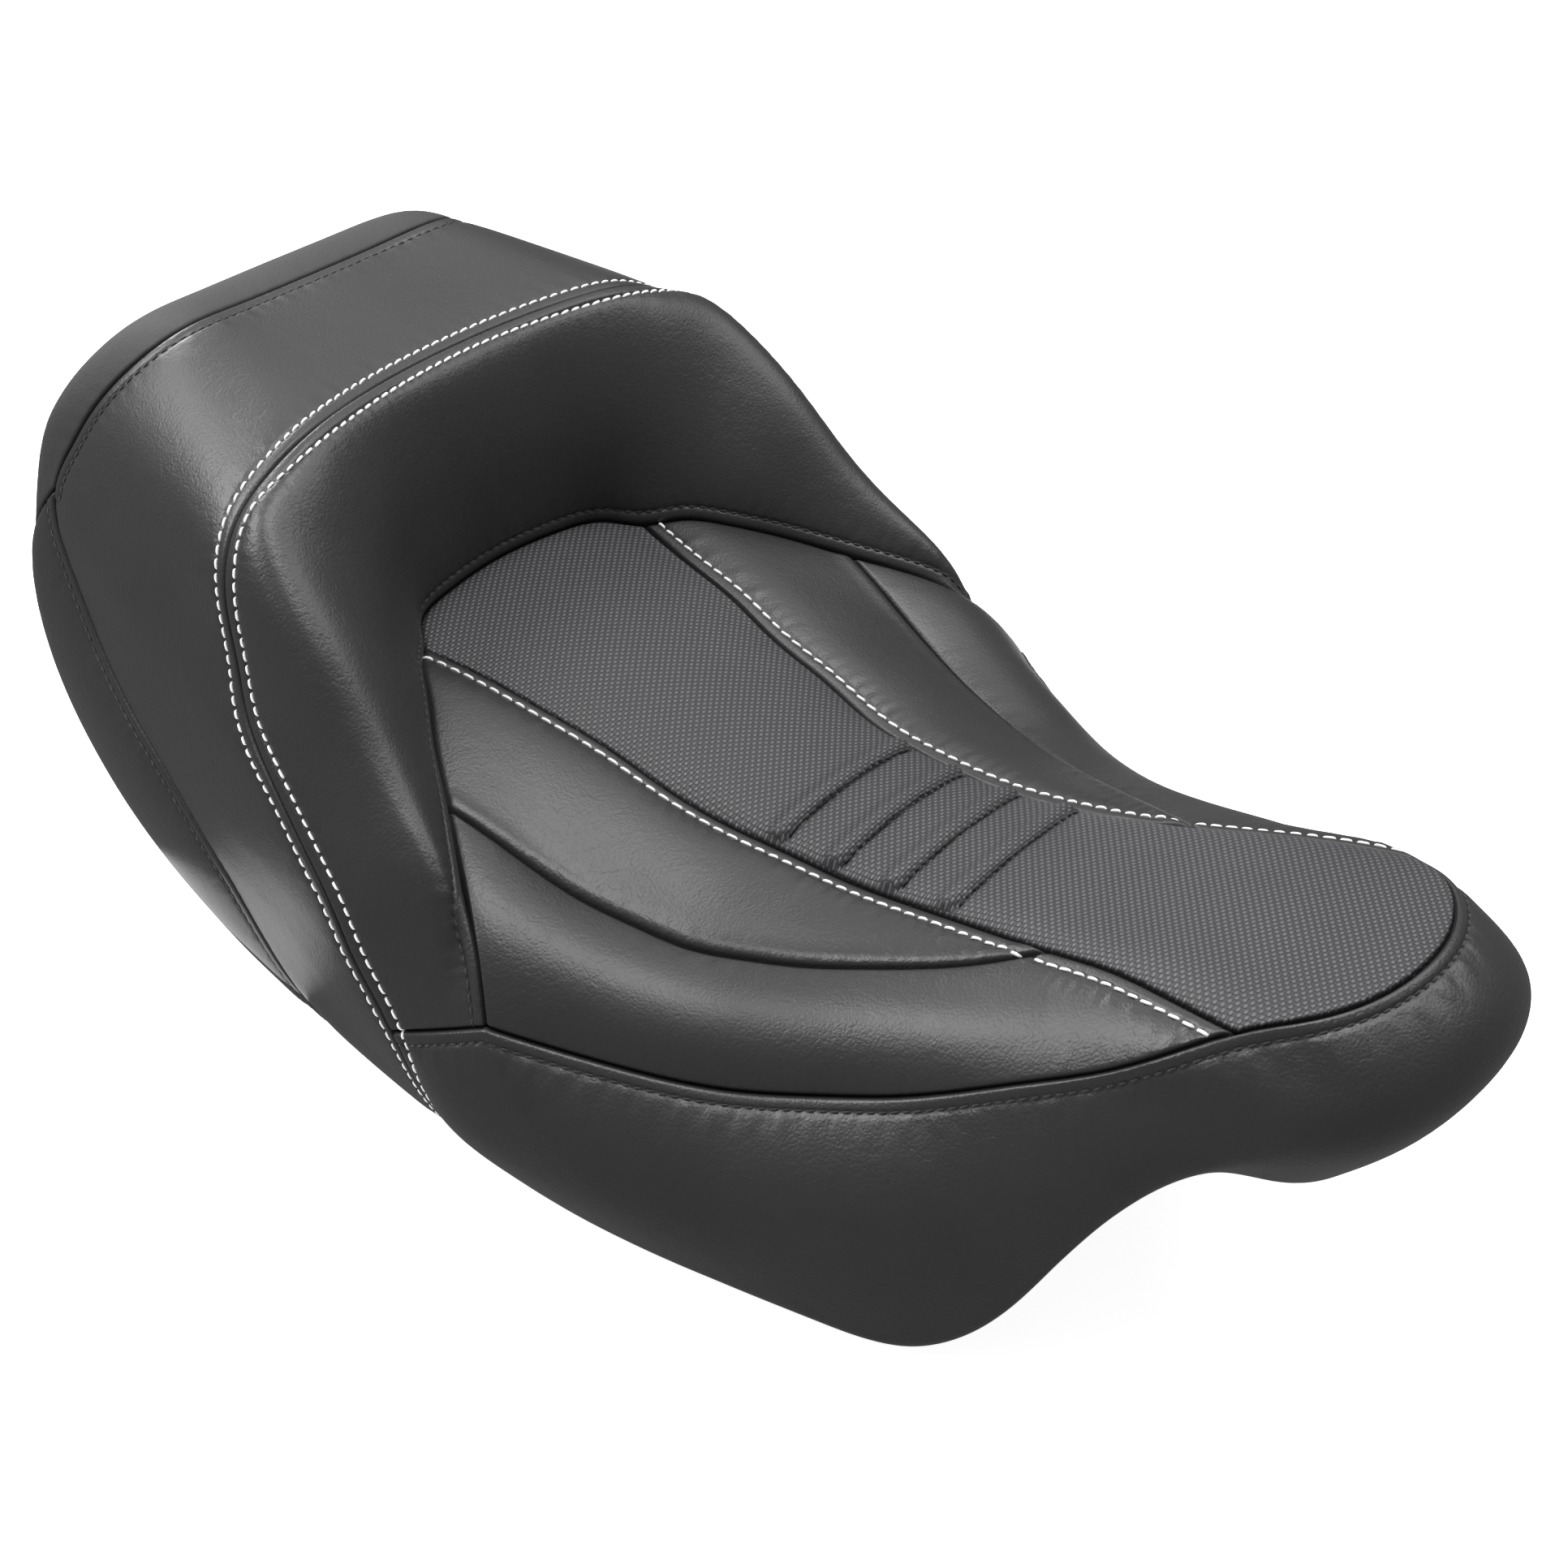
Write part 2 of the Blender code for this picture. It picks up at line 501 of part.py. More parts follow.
def strip(run, thickness):
    """The closed edge profile of an even strip whose upper face follows the run, from back to front."""
    upper = np.asarray(run, float)
    along = unit(np.diff(upper, axis=0))
    down = np.stack([along[:, 1], -along[:, 0]], axis=1)
    before, after = np.concatenate([down[:1], down]), np.concatenate([down, down[-1:]])
    mitre = (before + after) / (1 + (before * after).sum(axis=1, keepdims=True))
    return [tuple(p) for p in np.concatenate([upper, (upper + thickness * mitre)[::-1]])]


def tongue_run():
    """The front tongue's edge profile: flat under the pan, a step down, and a tip that lifts a little."""
    low = UNDER_PAN - PLATE_DROP
    run = [(TONGUE_BACK, UNDER_PAN), (TONGUE_STEP, UNDER_PAN), (TONGUE_STEP + TONGUE_RAMP, low),
           (TONGUE_TIP - TONGUE_LEAD, low), (TONGUE_TIP, low + TONGUE_LIFT)]
    return strip(run, PLATE)


def tab_run():
    """The rear tab's edge profile, from its bolt end forwards: a step up, and flat under the pan."""
    low = UNDER_PAN - PLATE_DROP
    run = [(TAB_END, low), (TAB_STEP - TAB_RAMP, low), (TAB_STEP, UNDER_PAN), (TAB_FRONT, UNDER_PAN)]
    return strip(run, PLATE)


def rivet_profile():
    """A rivet below the tunnel roof: its shank through the pan and the plate, and its domed head."""
    low = UNDER_PAN - CEILING - PLATE - PIECE_GAP
    dome = [(RIVET_HEAD * out, low - RIVET_HEAD_HEIGHT * down) for out, down in RIVET_DOME]
    shank = [(0, -PIECE_GAP), (RIVET_RADIUS, -PIECE_GAP), (RIVET_RADIUS, low), (RIVET_HEAD, low)]
    return shank + dome + [(0, low - RIVET_HEAD_HEIGHT)]


def bumper_profile():
    """A rubber bumper's foot below the pan, with a bevelled rim."""
    rim = BUMPER_BEVEL - BUMPER_HEIGHT
    return [(0, 0), (BUMPER_RADIUS, 0), (BUMPER_RADIUS, rim), (BUMPER_RADIUS - BUMPER_BEVEL, -BUMPER_HEIGHT),
            (0, -BUMPER_HEIGHT)]


def cylinder_cutter(name, radius, where, collection):
    bpy.ops.mesh.primitive_cylinder_add(vertices=24, radius=radius, depth=HOLE_DEPTH, location=where)
    cutter = bpy.context.object
    cutter.name = name
    for home in cutter.users_collection:
        home.objects.unlink(cutter)
    collection.objects.link(cutter)
    cutter.display_type = "WIRE"
    cutter.hide_render = True
    return cutter


def cut(node, cutters):
    """Takes each cutter out of the node."""
    for cutter in cutters:
        hole = node.modifiers.new(cutter.name, "BOOLEAN")
        hole.operation = "DIFFERENCE"
        hole.solver = "EXACT"
        hole.object = cutter


def staple(name, centre, along, up, finish, collection):
    """A staple's crown, lying flat on the turned edge of the cover."""
    bpy.ops.mesh.primitive_cube_add(size=1)
    node = bpy.context.object
    for home in node.users_collection:
        home.objects.unlink(node)
    collection.objects.link(node)
    node.name = node.data.name = name
    node.data.transform(Matrix.Diagonal((*STAPLE, 1)))
    side = np.cross(up, along)
    turn = Matrix((along, side, up)).transposed()
    node.matrix_world = Matrix.Translation(centre) @ turn.to_4x4()
    node.data.materials.append(finish)
    return node


def main():
    for old in list(bpy.data.objects):
        bpy.data.objects.remove(old)
    parts = bpy.data.collections.new("motorcycle_seat")
    cutters = bpy.data.collections.new("cutters")
    for collection in (parts, cutters):
        bpy.context.scene.collection.children.link(collection)
    cutters.hide_render = True

    smooth_vinyl = material("smooth_vinyl", (0.030, 0.029, 0.031), 0.42)
    woven_vinyl = material("basket_weave_vinyl", (0.026, 0.026, 0.028), 0.50)
    foam = material("moulded_foam", (0.62, 0.57, 0.42), 0.95)
    plastic = material("moulded_plastic", (0.018, 0.018, 0.019), 0.55)
    rubber = material("rubber", (0.012, 0.012, 0.012), 0.80)
    zinc = material("zinc_plated_steel", (0.60, 0.60, 0.58), 0.35, 1.0)
    black_steel = material("black_steel", (0.025, 0.025, 0.026), 0.40, 0.6)

    patches, hem = make_patches()
    below = Underside(hem)
    tucked = below.shifted(TUCK, TUCK_RISE)
    handed = {}
    for name, grid in patches.items():
        if name in ("inner", "outer", "gusset"):
            handed[name + "_left"] = grid
            handed[name + "_right"] = mirrored(grid)
        else:
            handed[name] = grid
    cap_at = len(patches["skirt"][-1]) // 2 + 1
    gusset_at, rear_at = cap_at + CAP_RIBS, cap_at + CAP_RIBS + GUSSET_RUN
    full = dict(handed)
    full["skirt"] = np.concatenate([handed["skirt"], both(tucked[:cap_at])[None]])
    full["rear"] = np.concatenate([handed["rear"], both(tucked[rear_at - 1:][::-1])[None]])
    left_gusset = np.concatenate([handed["gusset_left"], tucked[gusset_at - 1:rear_at][::-1][None]])
    full["gusset_left"], full["gusset_right"] = left_gusset, mirrored(left_gusset)
    cap_tuck = tucked[cap_at - 1:gusset_at][:, None]
    full["rear_cap"] = np.concatenate([cap_tuck * (1, -1, 1), handed["rear_cap"], cap_tuck], axis=1)

    normal_at = normals_of(full.values())
    for name, grid in full.items():
        finish = woven_vinyl if name == "insert" else smooth_vinyl
        panel("cover_" + name, grid, normal_at, finish, parts)

    foam_hem = below.shifted(FOAM_SETBACK, FOAM_SETBACK)
    both_hems = np.concatenate([hem, hem * (1, -1, 1)])
    both_foam = np.concatenate([foam_hem, foam_hem * (1, -1, 1)])
    hem_rows = {"hem": both_hems, "foam": both_foam, "half": foam_hem}
    foam_bun(handed.values(), hem_rows, below.pan_rows(FOAM_INSET), normal_at, foam, parts)

    pan_faces, pan_points = [], []
    for hand in (1, -1):
        half = below.pan_rows(PAN_INSET) * (1, hand, 1)
        pan_faces += grid_faces(*half.shape[:2], start=len(pan_points))
        pan_points += list(half.reshape(-1, 3))
    pan_mesh = welded(mesh_of("base_pan", np.array(pan_points) + DATUM, pan_faces))
    if sum(polygon.normal.z * polygon.area for polygon in pan_mesh.polygons) < 0:
        pan_mesh.flip_normals()
    for vertex, normal in zip(pan_mesh.vertices, [n.vector.copy() for n in pan_mesh.vertex_normals]):
        vertex.co -= PAN_GAP * normal
    pan = place("base_pan", pan_mesh, plastic, parts)
    wall = pan.modifiers.new("Wall", "SOLIDIFY")
    wall.thickness = PAN
    wall.offset = -1

    holes = {}
    for end, places in (("front", TONGUE_RIVETS), ("rear", TAB_RIVETS)):
        holes[end] = []
        for i, (x, y) in enumerate(places):
            where = DATUM + (x, y, CEILING)
            turned(f"{end}_rivet_{i + 1}", rivet_profile(), where, zinc, parts)
            hole = cylinder_cutter(f"hole_{end}_{i + 1}", RIVET_RADIUS + RIVET_PLAY, where, cutters)
            holes[end].append(hole)
    cut(pan, holes["front"] + holes["rear"])
    bolt = DATUM + (TAB_HOLE_X, 0, UNDER_PAN - PLATE_DROP)
    holes["rear"].append(cylinder_cutter("hole_tab", TAB_HOLE / 2, bolt, cutters))
    cut(bent_plate("front_tongue", tongue_run(), TONGUE_HALF, black_steel, parts), holes["front"])
    cut(bent_plate("rear_tab", tab_run(), TAB_HALF, zinc, parts), holes["rear"])

    for i, (x, y) in enumerate(BUMPER_PLACES):
        for hand, side in ((1, "left"), (-1, "right")):
            where = DATUM + (x, hand * y, UNDER_PAN)
            turned(f"bumper_{side}_{i + 1}", bumper_profile(), where, rubber, parts)

    flat_up = unit(below.up * TUCK - below.inward * TUCK_RISE)
    on_tuck = below.shifted(TUCK * STAPLE_LINE, TUCK_RISE * STAPLE_LINE)
    on_tuck -= (STAPLE_GAP + STAPLE[2] / 2) * flat_up
    last = len(hem) - 1
    for i in range(STAPLES_A_SIDE):
        k = round((i + STAPLE_START) * last / STAPLES_A_SIDE)
        along = unit(on_tuck[k + 1] - on_tuck[k - 1])
        up = unit(flat_up[k] - along * np.dot(flat_up[k], along))
        for hand, side in ((1, "left"), (-1, "right")):
            flip = np.array((1, hand, 1))
            name = f"staple_{side}_{i + 1:02d}"
            staple(name, DATUM + on_tuck[k] * flip, along * flip, up * flip, zinc, parts)


main()
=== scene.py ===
"""The looks of a one-piece motorcycle seat: a sewn vinyl cover over foam on a moulded base pan.

The seat datum is the middle of the insert's back edge. Rails hold (forward, half width, height) from
there, in millimetres, for the left half; DATUM moves them into the frame. A grid is an array of points,
rows x columns x 3, whose rows run across a panel and whose columns run along it."""

import math

import bpy
import numpy as np
from mathutils import Euler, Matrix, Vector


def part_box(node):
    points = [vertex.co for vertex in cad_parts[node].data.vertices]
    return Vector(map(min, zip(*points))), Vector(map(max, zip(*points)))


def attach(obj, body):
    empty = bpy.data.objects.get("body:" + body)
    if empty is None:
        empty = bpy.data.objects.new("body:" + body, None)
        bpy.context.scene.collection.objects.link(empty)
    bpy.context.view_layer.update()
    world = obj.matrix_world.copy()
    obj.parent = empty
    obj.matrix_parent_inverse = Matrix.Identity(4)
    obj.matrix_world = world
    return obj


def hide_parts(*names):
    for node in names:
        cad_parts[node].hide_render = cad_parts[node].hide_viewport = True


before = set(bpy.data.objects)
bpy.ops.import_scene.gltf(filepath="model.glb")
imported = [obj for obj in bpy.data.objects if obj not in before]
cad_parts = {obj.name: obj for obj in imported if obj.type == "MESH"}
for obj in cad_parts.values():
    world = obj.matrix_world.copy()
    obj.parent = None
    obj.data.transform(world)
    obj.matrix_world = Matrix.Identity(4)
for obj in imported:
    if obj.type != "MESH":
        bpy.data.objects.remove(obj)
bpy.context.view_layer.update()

# Where the front tongue starts and where a bumper's top is, from the seat datum
TONGUE_BACK, BUMPER_TOP = 0.150, -0.0889
DATUM_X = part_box("front_tongue")[0].x - TONGUE_BACK
DATUM_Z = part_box("bumper_left_1")[1].z - BUMPER_TOP
DATUM = np.array([DATUM_X, 0.0, DATUM_Z])
MM = 0.001
TINY = 1e-12
FLIP = np.array((1, -1, 1))  # takes a point to the other side of the middle plane

# ---------------- seams of the cover

BOLSTER_SEAM = [
    (-24, 0, 6), (-21, 36, 5), (-14, 58, 3), (0, 70, 1), (13, 83, 3), (27, 94, 1), (49, 112, -6),
    (76, 131, -15), (92, 143, -21), (111, 157, -30), (126, 168, -42), (141, 180, -64),
]
BOLSTER_FACE = [
    (-24, 0, 55), (-22, 40, 55), (-12, 68, 52), (0, 88, 46), (12, 101, 38), (30, 113, 28),
    (48, 124, 14), (66, 135, 2), (85, 146, -10), (108, 160, -26), (126, 182, -68),
]
BOLSTER_CREST = [
    (-34, 0, 100), (-33, 45, 100), (-26, 85, 99), (-18, 110, 92), (-13, 129, 86), (2, 143, 71),
    (24, 152, 48), (44, 158, 23), (70, 163, 0), (98, 171, -25), (110, 185.5, -78),
]
RIDGE = [
    (-45, 0, 104), (-43, 40, 104), (-37, 75, 104), (-33, 99, 101.5), (-32.5, 120, 92.5),
    (-30.5, 139, 79), (-25.5, 151, 60.5), (-15.5, 157.5, 28), (-7, 163, 12), (15, 172, -6),
    (43, 180, -28), (60, 184, -44), (72, 186, -62), (85, 187, -78), (92, 187, -89),
]
LOW_RIDGE_RAIL = [(92, 187, -89), (98, 184, -108), (101, 177, -130), (103, 166, -152)]
INSERT_SEAM = [
    (0, 70, 1), (32, 64, -4), (64, 60, -10), (93, 55, -18), (123, 53, -26), (152, 49, -33),
    (183, 46, -35), (216, 45, -35), (248, 45, -31), (282, 47, -24), (316, 51, -14.8),
]
FRONT_SEAM = [(316, 51, -14.8), (346, 55, -6), (377, 61, 0), (405, 66, 4)]
INNER_SEAM = [
    (76, 131, -15), (96, 127, -23), (116, 123, -32), (138, 118, -40), (160, 112, -45), (183, 106, -48),
    (205, 98, -47), (227, 90, -44), (248, 82, -39), (269, 74, -33), (290, 65, -26), (316, 51, -14.8),
]
NOSE_ARC = [(444, 0, 16), (441, 22, 15), (432, 42, 13), (423, 53, 11), (414, 60, 8), (405, 66, 4)]
SIDE_SEAM = [
    (405, 66, 4), (388, 79, -6), (368, 88, -20), (340, 98, -35), (292, 112, -60), (262, 122, -70),
    (230, 136, -76), (196, 152, -75), (165, 166, -71), (141, 180, -64),
]
HIP_SEAM = [(141, 180, -64), (118, 185, -75), (92, 187, -89)]
SKIRT_BELLY = [
    (475, 0, -18), (471, 30, -19), (458, 56, -21), (436, 73, -25), (409, 82, -33), (381, 98, -50),
    (345, 120, -82), (295, 143, -106), (245, 162, -116), (200, 177, -117), (160, 187, -114),
    (128, 190, -112), (99, 183, -112),
]
HEM = [
    (438, 0, -71), (436, 30, -70), (424, 58, -62), (406, 77, -54), (385, 97, -70), (365, 115, -105),
    (345, 128, -138), (322, 139, -154), (285, 150, -156), (230, 160, -156), (168, 167, -155),
    (103, 166, -152),
]
CAP_HEM = [(103, 166, -152), (57, 161, -151), (12, 155, -150)]
GUSSET_HEM = [(12, 155, -150), (-50, 143, -152.5), (-110, 127, -155), (-158, 113, -156.6)]
REAR_HEM = [
    (-158, 113, -156.6), (-166, 100, -138), (-174, 80, -107), (-177, 40, -93), (-177, 0, -91),
]
REAR_SEAM = [
    (-135, 0, 112), (-134, 45, 113), (-131, 79, 114), (-142, 100, 100), (-156.5, 115, 77.5),
    (-163, 120, 65), (-172, 127, 43),
]
GUSSET_SEAM = [
    (-172, 127, 43), (-155, 135, 3), (-138, 140, -18), (-111, 147, -41), (-86, 152, -57.5),
    (-62, 156, -76), (-41, 158, -94.5), (-22.5, 159, -116), (-4, 160, -132), (12, 155, -150),
]
REAR_LIP = [
    (-162, 0, 109), (-161, 45, 109.5), (-159, 79, 108.5), (-168, 103, 92), (-178, 117, 68),
    (-184, 126, 42),
]
REAR_BELLY = [(-194, 0, 10), (-194, 50, 8), (-195, 100, 2), (-197, 125, -10)]
CORNER_EDGE = [
    (-172, 127, 43), (-191, 127.5, 18), (-198, 126, -20), (-191, 122, -70), (-158, 113, -156.6),
]

# ---------------- how it is made up

# The points of the bolster's seam where the insert, the inner panel and the outer panel end
INSERT_CORNER, INNER_CORNER, OUTER_CORNER = 3, 7, 11
RIDGE_CREASE, REAR_CREASE = 4, 2  # the rails' points where the cap's top bends down to its flank

# Cells along each stretch of seam, the same for the panels on both its sides
BACK, BACK_INNER, BACK_OUTER = 32, 36, 36
TO_CREASE = 35  # from the middle to the cap's crease
INNER_RUN, FRONT_RUN = 130, 40
BOLSTER_RIBS, SKIRT_RIBS, CAP_RIBS, REAR_RIBS, REAR_TOP = 40, 40, 24, 60, 64
GUSSET_RUN = BACK + BACK_INNER + BACK_OUTER + SKIRT_RIBS - REAR_TOP
EASE = 0.8  # where along a loft its ribs start to move towards its end edge
FINE = 3000  # points by which the length of a smooth rail is measured
CROWNS = {"insert": 0.0006, "inner": 0.003, "outer": 0.006, "gusset": 0.010}

# The turned hem: how far its edge goes in and up, the size of its bend, and the rows it is cut into
TUCK, TUCK_RISE = 0.015, 0.0045
HEM_ROLL = 0.0055
HEM_STEP = 2.5 * MM
BEND_ROWS, FLAP_ROWS = 7, 5
SPINE_BACK, SPINE_FRONT = -0.150, 0.400

# The folded band's width, and where panels are cut, in millimetres from a seam or a turned hem's end
BAND = 6.0
STOPS = {
    "seam": (0, .35, .8, 1.3, 2, 3.2, 4.4, 5.1, 5.6, 6.0, 6.4, 6.9, 7.6, 8.8, 10.6, 13, 16.5),
    "plain": (0, .35, .8, 1.3, 2, 3, 4.4, 6.2, 8.6, 12, 16),
    "hem": (0, 4, 7.5, 9.5, 11, 12.5, 14, 15.5, 17, 18.5, 20, 22, 25),
    "open": (0,),
}
STOPS_SHARE = 0.46  # the share of a short column that the stops of one side may take
ACROSS_STEP, ALONG_STEP, INSERT_STEP = 4.5 * MM, 1.5 * MM, 0.75 * MM

# The sewn relief, in millimetres
COVER = 0.0012  # the cover's thickness, in metres
SINK, PLAIN_SINK_SPREAD, BAND_SINK_SPREAD = 2.4, 0.85, 0.8
PLUMP, PLUMP_REACH = 1.2, 7
ROLL_AT, ROLL_SPREAD = 4.2, 3
WRINKLES_AT, WRINKLES_SPREAD = 4.5, 3.8
BAND_RISE = 0.3
GROOVE_SPREAD, HOLE_DEPTH = 0.9, 0.45
WHITE_PITCH, RIDGE_PITCH, BLACK_PITCH, PLEAT_PITCH = 6.9, 5.7, 5.0, 4.6
NEIGHBOUR_SPREAD, NEIGHBOUR_REACH, SHARED_SPREAD = 1.5 * MM, 3 * MM, 5 * MM

# The cross pleats: how far forward each one is, in metres, and its shape, in millimetres
PLEATS = (0.180, 0.209, 0.238, 0.2665)
PLEAT_ROLL, PLEAT_ROLL_AT, PLEAT_ROLL_SPREAD = 2.2, -4.8, 3.8
PLEAT_HOLLOW, PLEAT_HOLLOW_REACH = -1.3, 7
PLEAT_CREASE, PLEAT_CREASE_REACH = -2.2, 0.7
PLEAT_CLEAR, PLEAT_FADE = 1.5, 5
PLEAT_END = 3.5 * MM  # where a pleat's stitches stop, from the insert's sides
BLOCK = 4000  # points whose distance to a line is worked out at once


def unit(vectors):
    return vectors / (np.linalg.norm(vectors, axis=-1, keepdims=True) + TINY)


def hump(x, top, spread):
    """A bell curve, 1 at its top."""
    return np.exp(-(((x - top) / spread) ** 2))


def lengths_along(points):
    """How far along the row of points each one lies."""
    return np.append(0, np.cumsum(np.linalg.norm(np.diff(points, axis=0), axis=1)))


def spline(points, knots):
    """A natural cubic through the points, as a function of its knots."""
    p = np.asarray(points, float)
    h = np.diff(knots)
    last = len(p) - 1
    system = np.eye(last + 1)
    wanted = np.zeros_like(p)
    for i in range(1, last):
        system[i, i - 1:i + 2] = h[i - 1], 2 * (h[i - 1] + h[i]), h[i]
    wanted[1:-1] = 3 * ((p[2:] - p[1:-1]) / h[1:, None] - (p[1:-1] - p[:-2]) / h[:-1, None])
    bend = np.linalg.solve(system, wanted)

    def at(t):
        i = np.clip(np.searchsorted(knots, t, side="right") - 1, 0, last - 1)
        step = h[i][:, None]
        x = (np.asarray(t) - knots[i])[:, None]
        slope = (p[i + 1] - p[i]) / step - step * (2 * bend[i] + bend[i + 1]) / 3
        return p[i] + slope * x + bend[i] * x**2 + (bend[i + 1] - bend[i]) / (3 * step) * x**3

    return at


def joined(points, cuts):
    """One smooth rail, in metres, through points in millimetres, cut at some of them: cuts lists (index,
    pieces up to it). A rail that ends on the middle plane is carried on through it, so that both halves
    meet smoothly."""
    p = np.asarray(points, float) / 1000
    other_side = (p * FLIP)[::-1]
    before = other_side[:-1] if abs(p[0, 1]) < TINY and len(p) > 2 else p[:0]
    after = other_side[1:] if abs(p[-1, 1]) < TINY and len(p) > 2 else p[:0]
    whole = np.concatenate([before, p, after])
    knots = lengths_along(whole)
    curve = spline(whole, knots)
    own = knots[len(before):]
    out, start = [], own[0]
    for index, pieces in cuts:
        fine = curve(np.linspace(start, own[index], FINE))
        run = lengths_along(fine)
        wanted = np.linspace(0, run[-1], pieces + 1)
        out.append(np.stack([np.interp(wanted, run, fine[:, k]) for k in range(3)], axis=1)[bool(out):])
        start = own[index]
    return np.concatenate(out)


def last_points(*rails):
    """Where each rail ends when they are joined end to end."""
    return np.cumsum([len(points) - 1 for points in rails])


def rail(points, pieces):
    return joined(points, ((len(points) - 1, pieces),))


def both(half):
    """Right and left halves of a rail that starts on the middle plane: right end first."""
    return np.concatenate([half[::-1] * FLIP, half[1:]])


def both_ways(half):
    """A half grid and its mirror image, joined at the middle plane."""
    return np.concatenate([mirrored(half), half[:, 1:]], axis=1)


def mirrored(grid):
    """The other hand of a grid, with its columns turned so that it still faces out."""
    return (grid * FLIP)[:, ::-1]


def loft(rails, pieces):
    """Ribs carried across the rails, each a spline through them. Rows run across, columns along."""
    stack = np.asarray(rails)
    gaps = np.linalg.norm(np.diff(stack, axis=0), axis=2).mean(axis=1)
    knots = np.append(0, np.cumsum(gaps)) / gaps.sum()
    flat = spline(stack.reshape(len(stack), -1), knots)(np.linspace(0, 1, pieces + 1))
    return flat.reshape(pieces + 1, -1, 3)


def patch(near, far, first, last):
    """A Coons patch: the surface that blends between two rails and the two edges that join their ends."""
    u = np.linspace(0, 1, len(near))[None, :, None]
    v = np.linspace(0, 1, len(first))[:, None, None]
    sides = (1 - v) * near[None] + v * far[None]
    ends = (1 - u) * first[:, None] + u * last[:, None]
    corners = (1 - u) * ((1 - v) * near[0] + v * far[0]) + u * ((1 - v) * near[-1] + v * far[-1])
    return sides + ends - corners


def outward(grid):
    """The grid's normals. Where a whole column is one point, its neighbour's are used."""
    along, across = np.gradient(grid, axis=1), np.gradient(grid, axis=0)
    out = unit(np.cross(along, across))
    width = np.linalg.norm(grid[-1] - grid[0], axis=1)
    for end, beside in ((0, 1), (-1, -2)):
        if width[end] < TINY:
            out[:, end] = out[:, beside]
    return out


def crowned(grid, height):
    """The patch swollen along its normals: half a sine across it, and along it the root of half a sine,
    less where the patch is narrow. Its edges stay where they are."""
    rows, columns = grid.shape[:2]
    width = np.linalg.norm(grid[-1] - grid[0], axis=1)
    along = np.sqrt(np.clip(np.sin(np.pi * np.linspace(0, 1, columns)), 0, 1)) * width / width.max()
    across = np.sin(np.pi * np.linspace(0, 1, rows))
    return grid + height * np.outer(across, along)[..., None] * outward(grid)


def end_matched(grid, edge):
    """The loft's last rib moved onto the given edge, and its neighbours part of the way."""
    share = np.clip((np.linspace(0, 1, grid.shape[1]) - EASE) / (1 - EASE), 0, 1)[None, :, None] ** 2
    return grid + share * (edge - grid[:, -1])[:, None]


def respaced(grid, near, far, step):
    """The grid's columns cut again: at the near stops from the first row, at the far stops from the last,
    and about a step apart between them. Where a column is too short for its stops they shrink to fit.
    Each new point lies on a cubic through the four old points round it."""
    lengths = np.linalg.norm(np.diff(grid, axis=0), axis=2)
    run = np.concatenate([np.zeros((1, grid.shape[1])), np.cumsum(lengths, axis=0)])
    whole = run[-1]
    pieces = max(int(round((whole.max() - near[-1] - far[-1]) / step)), 2)
    fit = np.minimum(1, STOPS_SHARE * whole / max(near[-1], far[-1], TINY))
    start, end = near[:, None] * fit, whole - far[::-1, None] * fit
    share = (np.arange(1, pieces) / pieces)[:, None]
    wanted = np.concatenate([start, start[-1] + (end[0] - start[-1]) * share, end])
    below = np.clip((run[:, None] <= wanted[None]).sum(axis=0) - 1, 0, len(grid) - 2)
    held = np.take_along_axis(run, below, axis=0)
    t = ((wanted - held) / (np.take_along_axis(lengths, below, axis=0) + TINY))[..., None]
    wide = np.concatenate([2 * grid[:1] - grid[1:2], grid, 2 * grid[-1:] - grid[-2:-1]])
    a, b, c, d = (np.take_along_axis(wide, below[..., None] + k, axis=0) for k in range(4))
    return b + t / 2 * (c - a + t * (2 * a - 5 * b + 4 * c - d + t * (3 * (b - c) + d - a)))


def turned(grid):
    return np.swapaxes(grid, 0, 1)


def tucked_under(grid, flap):
    """The panel with its last row rounded over the hem and carried on to the flap's edge. The bend is a
    quadratic curve from one roll's length above the hem to one roll's length past it."""
    hem = grid[-1]
    body = respaced(grid, np.zeros(1), np.array([HEM_ROLL]), HEM_STEP)
    start, reach = body[-1], flap - hem
    end = hem + HEM_ROLL * unit(reach)
    t = np.linspace(0, 1, BEND_ROWS)[1:, None, None]
    bend = (1 - t) ** 2 * start + 2 * t * (1 - t) * hem + t**2 * end
    rest = end + np.linspace(0, 1, FLAP_ROWS)[1:, None, None] * (flap - end)
    return np.concatenate([body, bend, rest])


